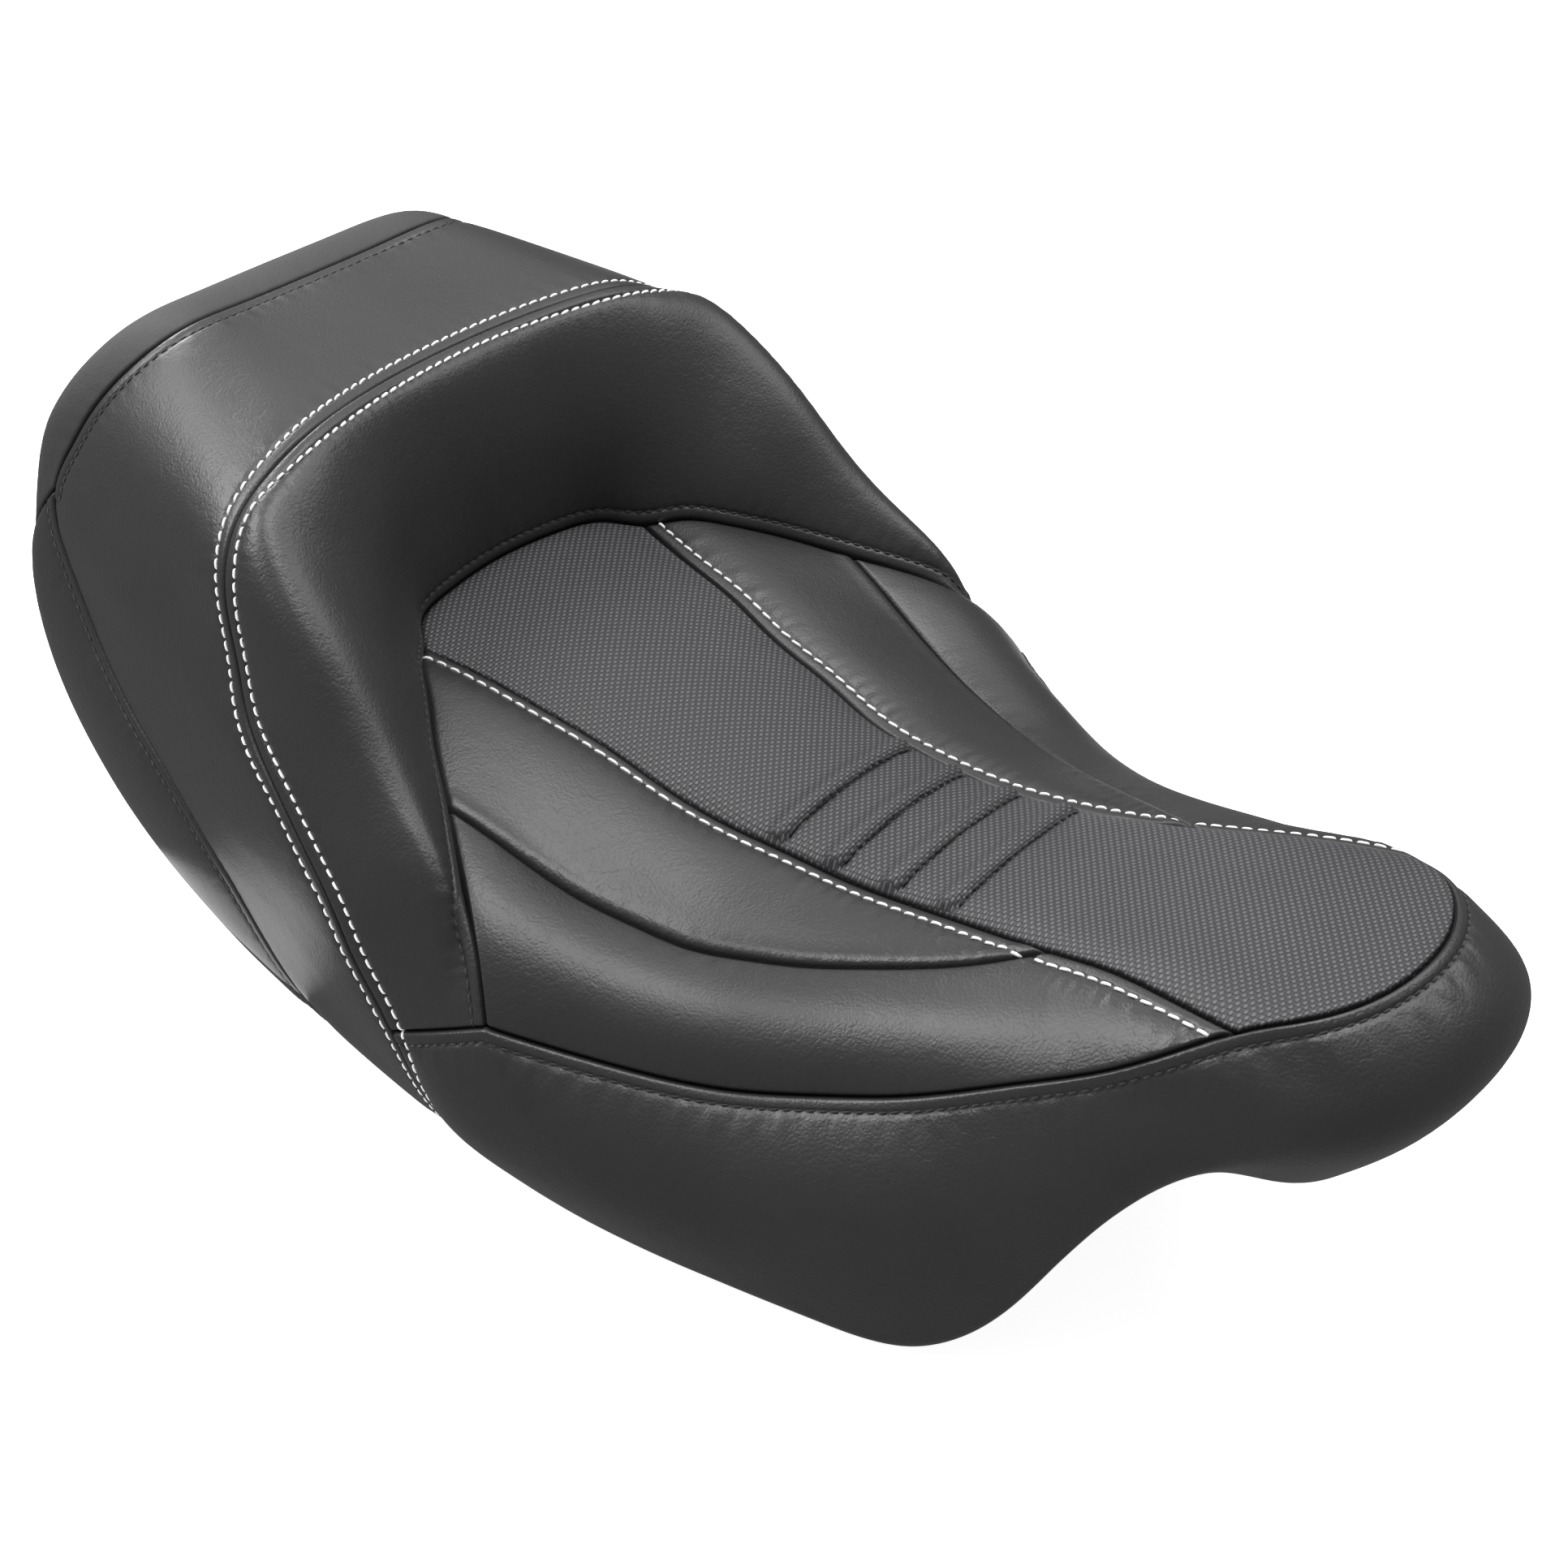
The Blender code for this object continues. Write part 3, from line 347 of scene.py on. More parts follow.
def plain_surfaces():
    """Every panel before it is sewn, as smooth patches between the seams, and the seams themselves."""
    foot_cuts = (INSERT_CORNER, BACK), (INNER_CORNER, BACK_INNER), (OUTER_CORNER, BACK_OUTER)
    seam = joined(BOLSTER_SEAM, foot_cuts)
    bolster_run = len(seam) - 1
    ridge_end, low_end = last_points(RIDGE, LOW_RIDGE_RAIL)
    ridge_cuts = (RIDGE_CREASE, TO_CREASE), (ridge_end, bolster_run - TO_CREASE), (low_end, SKIRT_RIBS)
    ridge_all = joined(RIDGE + LOW_RIDGE_RAIL[1:], ridge_cuts)
    ridge, low_ridge = ridge_all[:bolster_run + 1], ridge_all[bolster_run:]
    hip = rail(HIP_SEAM, BOLSTER_RIBS)
    face, crest = rail(BOLSTER_FACE, bolster_run), rail(BOLSTER_CREST, bolster_run)
    bolster = both_ways(end_matched(loft([seam, face, crest, ridge], BOLSTER_RIBS), hip))

    fork_at, front_end = last_points(INSERT_SEAM, FRONT_SEAM)
    insert_run = joined(INSERT_SEAM + FRONT_SEAM[1:], ((fork_at, INNER_RUN), (front_end, FRONT_RUN)))
    nose_end, side_end = last_points(NOSE_ARC, SIDE_SEAM)
    top = joined(NOSE_ARC + SIDE_SEAM[1:], ((nose_end, BACK), (side_end, INNER_RUN + FRONT_RUN)))
    nose, side = top[:BACK + 1], top[BACK:]
    inner_seam = rail(INNER_SEAM, INNER_RUN)
    insert = patch(insert_run * FLIP, insert_run, both(seam[:BACK + 1]), both(nose))
    fork = insert_run[INNER_RUN]
    inner_end = np.repeat(fork[None], BACK_INNER + 1, axis=0)
    inner_back, outer_back = seam[BACK:BACK + BACK_INNER + 1], seam[BACK + BACK_INNER:]
    inner = patch(insert_run[:INNER_RUN + 1], inner_seam, inner_back, inner_end)
    outer_top = np.concatenate([inner_seam, insert_run[INNER_RUN + 1:]])
    outer = patch(outer_top, side[::-1], outer_back, np.repeat(side[:1], BACK_OUTER + 1, axis=0))

    skirt_top = np.concatenate([top, hip[1:]])
    skirt_run = len(skirt_top) - 1
    skirt_half = loft([skirt_top, rail(SKIRT_BELLY, skirt_run), rail(HEM, skirt_run)], SKIRT_RIBS)
    skirt_half = end_matched(skirt_half, low_ridge)

    rear_end, hem_end = last_points(REAR_SEAM, GUSSET_SEAM)
    rear_cuts = (REAR_CREASE, TO_CREASE), (rear_end, REAR_TOP - TO_CREASE), (hem_end, GUSSET_RUN)
    back = joined(REAR_SEAM + GUSSET_SEAM[1:], rear_cuts)
    low_edge = rail(CAP_HEM, CAP_RIBS)
    cap_half = patch(ridge_all, back, rail([RIDGE[0], REAR_SEAM[0]], CAP_RIBS), low_edge)
    corner = rail(CORNER_EDGE, REAR_RIBS)
    gusset_low = rail(GUSSET_HEM[::-1], GUSSET_RUN)
    gusset_end = np.repeat(gusset_low[-1:], REAR_RIBS + 1, axis=0)
    gusset = patch(back[REAR_TOP:], gusset_low, corner, gusset_end)
    lip = joined(REAR_LIP, ((REAR_CREASE, TO_CREASE), (len(REAR_LIP) - 1, REAR_TOP - TO_CREASE)))
    rear_rails = [back[:REAR_TOP + 1], lip, rail(REAR_BELLY, REAR_TOP), rail(REAR_HEM[::-1], REAR_TOP)]
    rear_half = end_matched(loft(rear_rails, REAR_RIBS), corner)

    surfaces = {"insert": insert, "inner": inner, "outer": outer, "bolster": bolster, "gusset": gusset}
    for name, height in CROWNS.items():
        surfaces[name] = crowned(surfaces[name], height)

    hem = np.concatenate([skirt_half[-1], low_edge[1:], gusset_low[::-1][1:], rear_half[-1][::-1][1:]])
    flap = flap_edge(hem)
    cap_at = skirt_run + 1
    gusset_at, rear_at = cap_at + CAP_RIBS, cap_at + CAP_RIBS + GUSSET_RUN
    surfaces["skirt"] = both_ways(tucked_under(skirt_half, flap[:cap_at]))[:, ::-1]
    surfaces["gusset"] = tucked_under(surfaces["gusset"], flap[gusset_at - 1:rear_at][::-1])
    surfaces["rear"] = both_ways(tucked_under(rear_half, flap[rear_at - 1:][::-1]))
    surfaces["rear_cap"] = both_ways(turned(tucked_under(turned(cap_half), flap[cap_at - 1:gusset_at])))
    seams = {
        "foot": both(seam), "insert": insert_run[:INNER_RUN + 1], "front": insert_run[INNER_RUN:],
        "inner": inner_seam, "nose": both(nose), "side": side, "skirt": both(skirt_top), "hip": hip,
        "ridge": both(ridge), "whole_ridge": both(ridge_all), "low_ridge": low_ridge,
        "rear": both(back[:REAR_TOP + 1]), "gusset": back[REAR_TOP:], "corner": corner,
    }
    return surfaces, seams


def flap_edge(hem):
    """Where the cover's turned edge ends: in from the hem towards the tunnel's spine, and a little up."""
    share = (hem[:, 0] - hem[:, 0].min()) / np.ptp(hem[:, 0])
    spine_x = SPINE_BACK + share * (SPINE_FRONT - SPINE_BACK)
    spine_x[[0, -1]] = spine_x[[1, -2]]
    inward = unit(np.stack([spine_x - hem[:, 0], -hem[:, 1], 0 * spine_x], axis=1))
    along = np.gradient(hem, axis=0)
    along[[0, -1]] = (0, 1, 0)
    up = unit(np.cross(along, inward))
    return hem + TUCK * inward + TUCK_RISE * up * np.sign(up[:, 2:])


# ---------------- sewing

def from_rail(points, line):
    """For each point, its distance from the line and how far along the line its nearest place is."""
    flat, run = points.reshape(-1, 3), lengths_along(line)
    gap, place = np.empty(len(flat)), np.empty(len(flat))
    for start in range(0, len(flat), BLOCK):
        block = flat[start:start + BLOCK]
        square = (line**2).sum(axis=1) - 2 * block @ line.T
        nearest = square.argmin(axis=1)
        best, where = np.full(len(block), np.inf), np.zeros(len(block))
        for shift in (-1, 0):
            i = np.clip(nearest + shift, 0, len(line) - 2)
            edge = line[i + 1] - line[i]
            size = (edge**2).sum(axis=1) + TINY
            t = np.clip(((block - line[i]) * edge).sum(axis=1) / size, 0, 1)
            away = np.linalg.norm(block - line[i] - t[:, None] * edge, axis=1)
            closer = away < best
            best = np.where(closer, away, best)
            where = np.where(closer, run[i] + t * np.sqrt(size), where)
        gap[start:start + BLOCK], place[start:start + BLOCK] = best, where
    return gap.reshape(points.shape[:-1]), place.reshape(points.shape[:-1])


def border_of(grid, out):
    """The points and normals round a grid's border."""
    sides = (np.s_[0], np.s_[-1], np.s_[:, 0], np.s_[:, -1])
    return np.concatenate([grid[s] for s in sides]), np.concatenate([out[s] for s in sides])


def shared_normals(line, borders):
    """The mean outward normal, along a seam, of all the panels that meet there."""
    total = np.zeros_like(line)
    for points, out in borders:
        square = (line**2).sum(axis=1)[:, None] + (points**2).sum(axis=1) - 2 * line @ points.T
        near = np.exp(-np.clip(square, 0, None) / NEIGHBOUR_SPREAD**2) * (square < NEIGHBOUR_REACH**2)
        total += unit(near @ out) * (near.sum(axis=1)[:, None] > TINY)
    return unit(total)


def ripple(place, seed, shortest=5.0, longest=16.0, waves=6):
    """An uneven wave along a seam, from -1 to 1: sines of several lengths in millimetres, summed."""
    dice = np.random.default_rng(seed)
    length = dice.uniform(shortest, longest, waves)
    phase = dice.uniform(0, 2 * np.pi, waves)
    return np.sin(2 * np.pi * place[..., None] / length + phase).sum(axis=-1) / waves**0.5


# kind: (width of the folded band, stitch pitch, roll beside the seam, wrinkling, stitches' pull)
KINDS = {
    "plain": (0, 0, 0, 0.08, 0),
    "roll": (0, 0, 0.9, 0.08, 0),
    "white": (BAND, WHITE_PITCH, 0, 0.20, 0.7),
    "ridge": (BAND + 1.0, RIDGE_PITCH, 0, 0.16, 0.7),
    "black": (BAND, BLACK_PITCH, 0, 0.16, 0.5),
    "gathered": (BAND, BLACK_PITCH, 0, 0.24, 0.5),
}


def drawn_in(gap, place, kind, seed):
    """How far a panel stands up beside one of its seams, in millimetres, and its share of the padding's
    swell. It sinks at the seam, lies flat as a folded band as far as its row of stitches, which pull a
    groove that is deeper at each needle hole, and past that, or past a plain seam, the padding swells."""
    width, pitch, roll, wrinkle, pull = KINDS[kind]
    d, s = gap / MM, place / MM
    past = np.clip(d - width, 0, None)
    swell = 1 - np.exp(-past / PLUMP_REACH)
    waves = wrinkle * ripple(s, seed) * hump(past, WRINKLES_AT, WRINKLES_SPREAD) * (d > width)
    if not width:
        sunk = -SINK * hump(d, 0, PLAIN_SINK_SPREAD)
        return sunk + roll * hump(d, ROLL_AT, ROLL_SPREAD) + waves, swell
    sunk = -SINK * hump(d, 0, BAND_SINK_SPREAD)
    band = BAND_RISE * np.sin(np.pi * np.clip(d / width, 0, 1))
    holes = 1 + HOLE_DEPTH * np.cos(2 * np.pi * s / pitch)
    groove = -pull * hump(d, width, GROOVE_SPREAD) * holes
    return sunk + band + groove + waves, swell


def sewn(grid, seams, borders, seed):
    """The panel drawn into its seams, and each point's distance to the nearest one. Near a seam the panel
    moves along the normal that it shares with its neighbours, so that both meet at the seam's bottom."""
    way = outward(grid)
    rise = np.zeros(grid.shape[:2])
    swell = np.ones(grid.shape[:2])
    nearest = np.full(grid.shape[:2], np.inf)
    for number, (line, kind) in enumerate(seams):
        gap, place = from_rail(grid, line)
        height, share = drawn_in(gap, place, kind, seed + number)
        rise += height
        swell *= share
        nearest = np.minimum(nearest, gap)
        common, run = shared_normals(line, borders), lengths_along(line)
        toward = np.stack([np.interp(place, run, common[:, k]) for k in range(3)], axis=-1)
        blend = hump(gap, 0, SHARED_SPREAD)[..., None]
        way = unit(way * (1 - blend) + toward * blend)
    return grid + MM * (rise + PLUMP * swell)[..., None] * way, nearest


def pleated(grid, sides):
    """The insert with its cross pleats. Behind each pleat a roll puffs up and drops steeply into it, and
    ahead of it a shallow hollow climbs back slowly; all fade out towards the insert's long seams."""
    gap = np.minimum(*(from_rail(grid, side)[0] for side in sides)) / MM
    fade = np.clip((gap - PLEAT_CLEAR) / PLEAT_FADE, 0, 1)
    fade = fade * fade * (3 - 2 * fade)
    rise = np.zeros(grid.shape[:2])
    for x in PLEATS:
        u = (grid[..., 0] - x) / MM
        roll = PLEAT_ROLL * hump(u, PLEAT_ROLL_AT, PLEAT_ROLL_SPREAD) * (u < 0)
        hollow = PLEAT_HOLLOW * np.exp(-np.clip(u, 0, None) / PLEAT_HOLLOW_REACH) * (u > 0)
        crease = PLEAT_CREASE * np.exp(-np.abs(u) / PLEAT_CREASE_REACH)
        rise += roll + hollow + crease
    return grid + MM * (rise * fade)[..., None] * outward(grid)


# ---------------- thread

# Stitches, in millimetres: how far each dives, and from one to the next, length, thickness, rise and lean
STATIONS, SIDES = 7, 6
UNEVEN_LENGTH, UNEVEN_LEAN = 0.05, 0.3
DIVE, END_TAPER, FLATTENED = 0.9, 0.5, 1.12
ROW_MARGIN = 0.4 * MM
WHITE_THREAD = {"pitch": WHITE_PITCH, "length": 5.9, "thick": 1.30, "rise": 0.60, "lean": 0.28}
RIDGE_THREAD = {"pitch": RIDGE_PITCH, "length": 5.1, "thick": 1.20, "rise": 0.55, "lean": 0.25}
BLACK_THREAD = {"pitch": BLACK_PITCH, "length": 4.1, "thick": 0.90, "rise": 0.35, "lean": 0.15}
PLEAT_THREAD = BLACK_THREAD | {"pitch": PLEAT_PITCH}


def beside_edge(surface, gap, place, side, width):
    """The line on a panel's surface that runs at a fixed distance from the seam at one of its sides,
    with the surface's normal along it. Each grid line gives one point, where it first gets that far."""
    out = outward(surface)
    if side in ("first", "last"):
        surface, out, gap, place = turned(surface), turned(out), gap.T, place.T
    if side in ("far", "last"):
        surface, out, gap, place = surface[::-1], out[::-1], gap[::-1], place[::-1]
    past = gap >= width
    k = past.argmax(axis=0)[None]
    at = [np.take_along_axis(gap, np.maximum(k - back, 0), axis=0)[0] for back in (1, 0)]
    t = ((width - at[0]) / (at[1] - at[0] + TINY))[:, None]
    place_there = np.take_along_axis(place, k, axis=0)[0]
    good = (k[0] > 0) & (place.max(axis=0) > ROW_MARGIN) & (place_there < place.max() - ROW_MARGIN)
    pick = [[np.take_along_axis(a, np.maximum(k - back, 0)[..., None], axis=0)[0] for back in (1, 0)]
            for a in (surface, out)]
    points, normals = (before + t * (after - before) for before, after in pick)
    return points[good], unit(normals[good])


def smoothed(points, times=2):
    """The line with each inner point moved halfway to the mean of its two neighbours."""
    for _ in range(times):
        inner = (points[:-2] + 2 * points[1:-1] + points[2:]) / 4
        points = np.concatenate([points[:1], inner, points[-1:]])
    return points


def stitch_row(name, points, normals, thread, finish):
    """A row of stitches along a line, a whole number of them. Each is a bent rod of six-sided section.
    It dives into the cover at both ends by the fifth power of the distance from its middle, thins towards
    its ends and leans a little across the row."""
    points, normals = smoothed(points), unit(smoothed(normals))
    run = lengths_along(points) / MM
    count = max(int(round(run[-1] / thread["pitch"])), 1)
    pitch = run[-1] / count
    t = np.linspace(-1, 1, STATIONS)
    dice = np.random.default_rng(len(points))
    length = thread["length"] * (1 + UNEVEN_LENGTH * dice.standard_normal(count))[:, None]
    where = (np.arange(count)[:, None] + 0.5) * pitch + length / 2 * t
    centre = np.stack([np.interp(where, run, points[:, k]) for k in range(3)], axis=-1)
    up = unit(np.stack([np.interp(where, run, normals[:, k]) for k in range(3)], axis=-1))
    along = unit(np.gradient(centre, axis=1))
    across = unit(np.cross(up, along))
    lean = thread["lean"] * (1 + UNEVEN_LEAN * dice.standard_normal(count))[:, None]
    height = thread["rise"] - (thread["rise"] + DIVE) * np.abs(t) ** 5
    centre = centre + MM * (height[None, :, None] * up + (lean * t)[..., None] * across)
    angle = np.linspace(0, 2 * np.pi, SIDES, endpoint=False)
    radius = MM * thread["thick"] / 2 * (1 - END_TAPER * np.abs(t) ** 3)
    sideways = np.cos(angle)[:, None] * FLATTENED * across[:, :, None]
    ring = sideways + np.sin(angle)[:, None] * up[:, :, None]
    body = centre[:, :, None] + radius[None, :, None, None] * ring
    i, j = np.meshgrid(np.arange(STATIONS - 1), np.arange(SIDES), indexing="ij")
    a, b = i * SIDES + j, i * SIDES + (j + 1) % SIDES
    rod = np.stack([a, b, b + SIDES, a + SIDES], axis=-1).reshape(-1, 4)
    first = np.arange(count)[:, None, None] * STATIONS * SIDES
    walls = (first + rod).reshape(-1, 4).tolist()
    rim = np.arange(SIDES)
    ends = np.stack([rim[::-1], rim + (STATIONS - 1) * SIDES])
    caps = (first + ends).reshape(-1, SIDES).tolist()
    new_piece(name, body.reshape(-1, 3) + DATUM, walls + caps, finish)


# ---------------- meshes

def new_piece(name, points, faces, finish):
    mesh = bpy.data.meshes.new(name)
    mesh.from_pydata(points, [], faces)
    mesh.shade_smooth()
    mesh.materials.append(finish)
    piece = bpy.data.objects.new(name, mesh)
    bpy.context.scene.collection.objects.link(piece)
    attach(piece, "root")
    return piece


def grid_cells(rows, columns):
    """Each cell's four corners, so that its face looks the way the grid does."""
    i, j = np.meshgrid(np.arange(rows - 1), np.arange(columns - 1), indexing="ij")
    a = i * columns + j
    return np.stack([a, a + 1, a + columns + 1, a + columns], axis=-1).reshape(-1, 4)


def cover_panel(name, grid, nearest, finish):
    """A sewn panel as a sheet with its thickness behind it, and its distance to the nearest seam."""
    points = (grid + DATUM).reshape(-1, 3)
    piece = new_piece("panel_" + name, points, grid_cells(*grid.shape[:2]).tolist(), finish)
    mark = piece.data.attributes.new("from_seam", "FLOAT", "POINT")
    mark.data.foreach_set("value", nearest.reshape(-1).astype(np.float32))
    wall = piece.modifiers.new("thickness", "SOLIDIFY")
    wall.thickness = COVER
    wall.offset = -1
    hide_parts("cover_" + name)
    return piece


def weave_map(piece, grid):
    """A UV map in metres: along the seat's middle line, and across it."""
    middle = grid[len(grid) // 2]
    u = np.interp(grid[..., 0], middle[:, 0], lengths_along(middle))
    uv = np.stack([u, grid[..., 1]], axis=-1).reshape(-1, 2)
    corners = np.empty(len(piece.data.loops), np.int32)
    piece.data.loops.foreach_get("vertex_index", corners)
    layer = piece.data.uv_layers.new(name="weave")
    layer.data.foreach_set("uv", uv[corners].astype(np.float32).reshape(-1))


# ---------------- finishes

class Wire:
    """A node's output that takes part in sums: each operator adds a Math node to its finish."""

    def __init__(self, finish, socket):
        self.finish, self.socket = finish, socket

    def math(self, operation, *values):
        return self.finish.node("ShaderNodeMath", {"operation": operation}, dict(enumerate(values)))

    def __add__(self, other):
        return self.math("ADD", self, other)

    def __mul__(self, other):
        return self.math("MULTIPLY", self, other)

    def __sub__(self, other):
        return self.math("SUBTRACT", self, other)

    def __rsub__(self, other):
        return self.math("SUBTRACT", other, self)

    def __truediv__(self, other):
        return self.math("DIVIDE", self, other)

    def __pow__(self, other):
        return self.math("POWER", self, other)

    __radd__, __rmul__ = __add__, __mul__


class Finish:
    """One material: a shader with its constant values, and the nodes that vary them over the surface."""

    def __init__(self, name, **constants):
        self.material = bpy.data.materials.new(name)
        self.material.use_nodes = True
        self.tree = self.material.node_tree
        self.shader = self.tree.nodes["Principled BSDF"]
        for socket, value in constants.items():
            self.shader.inputs[socket.replace("_", " ")].default_value = value

    def node(self, kind, settings=None, inputs=None, output=0):
        made = self.tree.nodes.new(kind)
        for key, value in (settings or {}).items():
            if key == "stops":
                self.set_stops(made.color_ramp, value)
            else:
                setattr(made, key, value)
        for key, value in (inputs or {}).items():
            if isinstance(value, Wire):
                self.tree.links.new(value.socket, made.inputs[key])
            else:
                made.inputs[key].default_value = value
        return Wire(self, made.outputs[output])

    @staticmethod
    def set_stops(ramp, stops):
        for i, (place, value) in enumerate(stops):
            stop = ramp.elements[i] if i < 2 else ramp.elements.new(place)
            stop.position = place
            stop.color = (value, value, value, 1)

    def feed(self, **wires):
        for socket, wire in wires.items():
            self.tree.links.new(wire.socket, self.shader.inputs[socket.replace("_", " ")])
        return self.material

    def where(self):
        """Object coordinates, in metres."""
        return self.node("ShaderNodeTexCoord", output="Object")

    def noise(self, size, detail=2.0, rough=0.5, place=None):
        """Soft noise from 0 to 1 with features of about a size in metres."""
        inputs = {"Vector": place or self.where(), "Scale": 1 / size}
        inputs.update({"Detail": detail, "Roughness": rough})
        return self.node("ShaderNodeTexNoise", {}, inputs, "Fac")

    def cells(self, size, feature="F1"):
        """Rounded cells of about a size in metres, from 0 at their middles."""
        inputs = {"Vector": self.where(), "Scale": 1 / size}
        return self.node("ShaderNodeTexVoronoi", {"feature": feature}, inputs, "Distance")

    def ramp(self, value, *stops):
        return self.node("ShaderNodeValToRGB", {"stops": stops}, {"Fac": value}, "Color")

    def mixed(self, factor, first, second):
        """A colour between two colours."""
        inputs = {0: factor}
        for index, colour in ((6, first), (7, second)):
            inputs[index] = colour if isinstance(colour, Wire) else (*colour, 1)
        return self.node("ShaderNodeMix", {"data_type": "RGBA"}, inputs, 2)

    def bumped(self, height, depth, strength=1.0, under=None):
        """A bump whose height, from 0 to 1, is worth a depth in metres."""
        inputs = {"Height": height, "Distance": depth, "Strength": strength}
        if under:
            inputs["Normal"] = under
        return self.node("ShaderNodeBump", {}, inputs, "Normal")

    def from_seam(self):
        """A cover panel's own distance to its nearest seam, in metres."""
        return self.node("ShaderNodeAttribute", {"attribute_name": "from_seam"}, {}, "Fac")

    def seam_shade_mask(self, distance):
        """Where seams get painted shade and more roughness: 1 at the bottom of a seam, 0 from 1.4
        millimetres off.
        """
        return self.ramp(distance * 100, (0.0, 1.0), (0.06, 0.9), (0.14, 0.0))


VINYL_DARK, VINYL_LIGHT = (0.013, 0.0128, 0.0138), (0.020, 0.0197, 0.0212)
# Near-black painted shade for the bottoms of the seams
SEAM_PAINTED_SHADE = (0.001, 0.001, 0.001)
PEBBLE, PEBBLE_BUMP = 1.1 * MM, 0.20 * MM
VINYL_SWELL, SWELL_BUMP = 12 * MM, 0.5 * MM
CREASED_PATCH, CREASE_BUMP = 70 * MM, 0.09 * MM
RUBBED_PATCH = 60 * MM
WEAVE_LONG, WEAVE_WIDE, WEAVE_DEPTH = 1.6 * MM, 2.1 * MM, 0.6 * MM
# Painted shade for the weave's low cells and gaps, and painted light for its raised tops
WEAVE_SHADED, WEAVE_LIT = (0.002, 0.002, 0.003), (0.115, 0.113, 0.121)
WORN_PATCH = 45 * MM
PLIES_PER_METRE = 700.0


def vinyl_grain(finish):
    """Pebbled vinyl: small rounded cells with thin valleys between them, and in some places fine wavy
    creases, which follow the middle level of a soft noise."""
    pebbles = finish.cells(PEBBLE, "SMOOTH_F1")
    swells = finish.noise(VINYL_SWELL, 3, 0.6)
    level = swells - 0.5
    lines = finish.ramp(level.math("ABSOLUTE", level) * 10, (0.0, 0.0), (0.35, 1.0))
    where_creased = finish.ramp(finish.noise(CREASED_PATCH, 2), (0.42, 0.0), (0.58, 1.0))
    creases = 1 - (1 - lines) * where_creased
    grain = finish.bumped(1 - pebbles, PEBBLE_BUMP, 0.6)
    swollen = finish.bumped(swells, SWELL_BUMP, 0.5, grain)
    return pebbles, finish.bumped(creases, CREASE_BUMP, 0.5, swollen)


def make_vinyl(name, dullness):
    """Smooth black vinyl: satin, in patches a little greyer and duller, and shinier where the seams
    stretch it. The bottoms of its seams are painted near-black as painted shade. Dullness is added to its
    roughness."""
    finish = Finish(name, Specular_IOR_Level=0.6)
    pebbles, normal = vinyl_grain(finish)
    from_seam = finish.from_seam()
    beside = finish.ramp(from_seam * 60, (0.0, 1.0), (0.25, 0.5), (1.0, 0.0))
    patches = finish.noise(RUBBED_PATCH, 4, 0.6)
    # The seams' bottoms: painted near-black as painted shade, and made rougher
    inside = finish.seam_shade_mask(from_seam)
    colour = finish.mixed(inside, finish.mixed(patches, VINYL_DARK, VINYL_LIGHT), SEAM_PAINTED_SHADE)
    roughness = 0.35 + dullness + 0.08 * patches + 0.08 * pebbles - 0.04 * beside + 0.4 * inside
    return finish.feed(Base_Color=colour, Roughness=roughness, Normal=normal)


def make_weave():
    """Vinyl embossed as a basket weave: a chequerboard where every other cell is a strand that stands up
    with a round top, and the cells between are strands that pass under it. Its colour is painted light
    and
    shade: pale on the raised tops as painted highlight, near-black in the low cells and gaps as painted
    shade."""
    finish = Finish("vinyl_basket_weave", Specular_IOR_Level=0.5)
    uv = finish.node("ShaderNodeUVMap", {"uv_map": "weave"})
    split = finish.node("ShaderNodeSeparateXYZ", {}, {0: uv}, "X").socket.node
    u = Wire(finish, split.outputs["X"]) / WEAVE_LONG
    v = Wire(finish, split.outputs["Y"]) / WEAVE_WIDE
    cell = u.math("FLOOR", u) + u.math("FLOOR", v)
    over = cell.math("FLOORED_MODULO", cell, 2.0)
    inside_u, inside_v = u.math("FRACT", u), u.math("FRACT", v)
    round_u, round_v = (x.math("SINE", x * math.pi) for x in (inside_u, inside_v))
    strand = (round_u * round_v) ** 0.35
    height = strand * (0.30 + 0.70 * over)
    worn = finish.noise(WORN_PATCH, 3)
    # The seams' bottoms, painted near-black as painted shade
    inside = finish.seam_shade_mask(finish.from_seam())
    # Painted light and shade: the colour follows the weave's height, from shaded gaps to lit tops, varied
    # in patches
    strands = finish.mixed(height * (0.75 + 0.25 * worn), WEAVE_SHADED, WEAVE_LIT)
    colour = finish.mixed(inside, strands, SEAM_PAINTED_SHADE)
    roughness = 0.55 - 0.22 * height + 0.06 * worn
    uneven = finish.bumped(finish.noise(8 * MM, 3), 0.25 * MM, 0.5)
    normal = finish.bumped(height, WEAVE_DEPTH, 0.8, uneven)
    return finish.feed(Base_Color=colour, Roughness=roughness, Normal=normal)


def make_thread(name, dark, light):
    """Twisted sewing thread: fine slanting plies, matt."""
    finish = Finish(name, Roughness=0.75, Sheen_Weight=0.2)
    inputs = {"Vector": finish.where(), "Scale": PLIES_PER_METRE, "Distortion": 1.5, "Detail": 1.0}
    plies = finish.node("ShaderNodeTexWave", {"bands_direction": "DIAGONAL"}, inputs, "Fac")
    fuzz = finish.noise(0.6 * MM, 2)
    colour = finish.mixed(plies * 0.6 + fuzz * 0.4, dark, light)
    return finish.feed(Base_Color=colour, Normal=finish.bumped(plies, 0.08 * MM))


def make_foam():
    """Moulded foam: pale, with a skin of fine open pores and a few larger dimples."""
    finish = Finish("foam_moulded", Specular_IOR_Level=0.25)
    pores, dimples = finish.cells(1.3 * MM), finish.noise(7 * MM, 4, 0.6)
    colour = finish.mixed(pores * 0.5 + dimples * 0.5, (0.42, 0.36, 0.22), (0.70, 0.64, 0.47))
    normal = finish.bumped(pores, 0.5 * MM, 0.7, finish.bumped(dimples, 1.2 * MM, 0.5))
    return finish.feed(Base_Color=colour, Roughness=0.88 + 0.1 * dimples, Normal=normal)


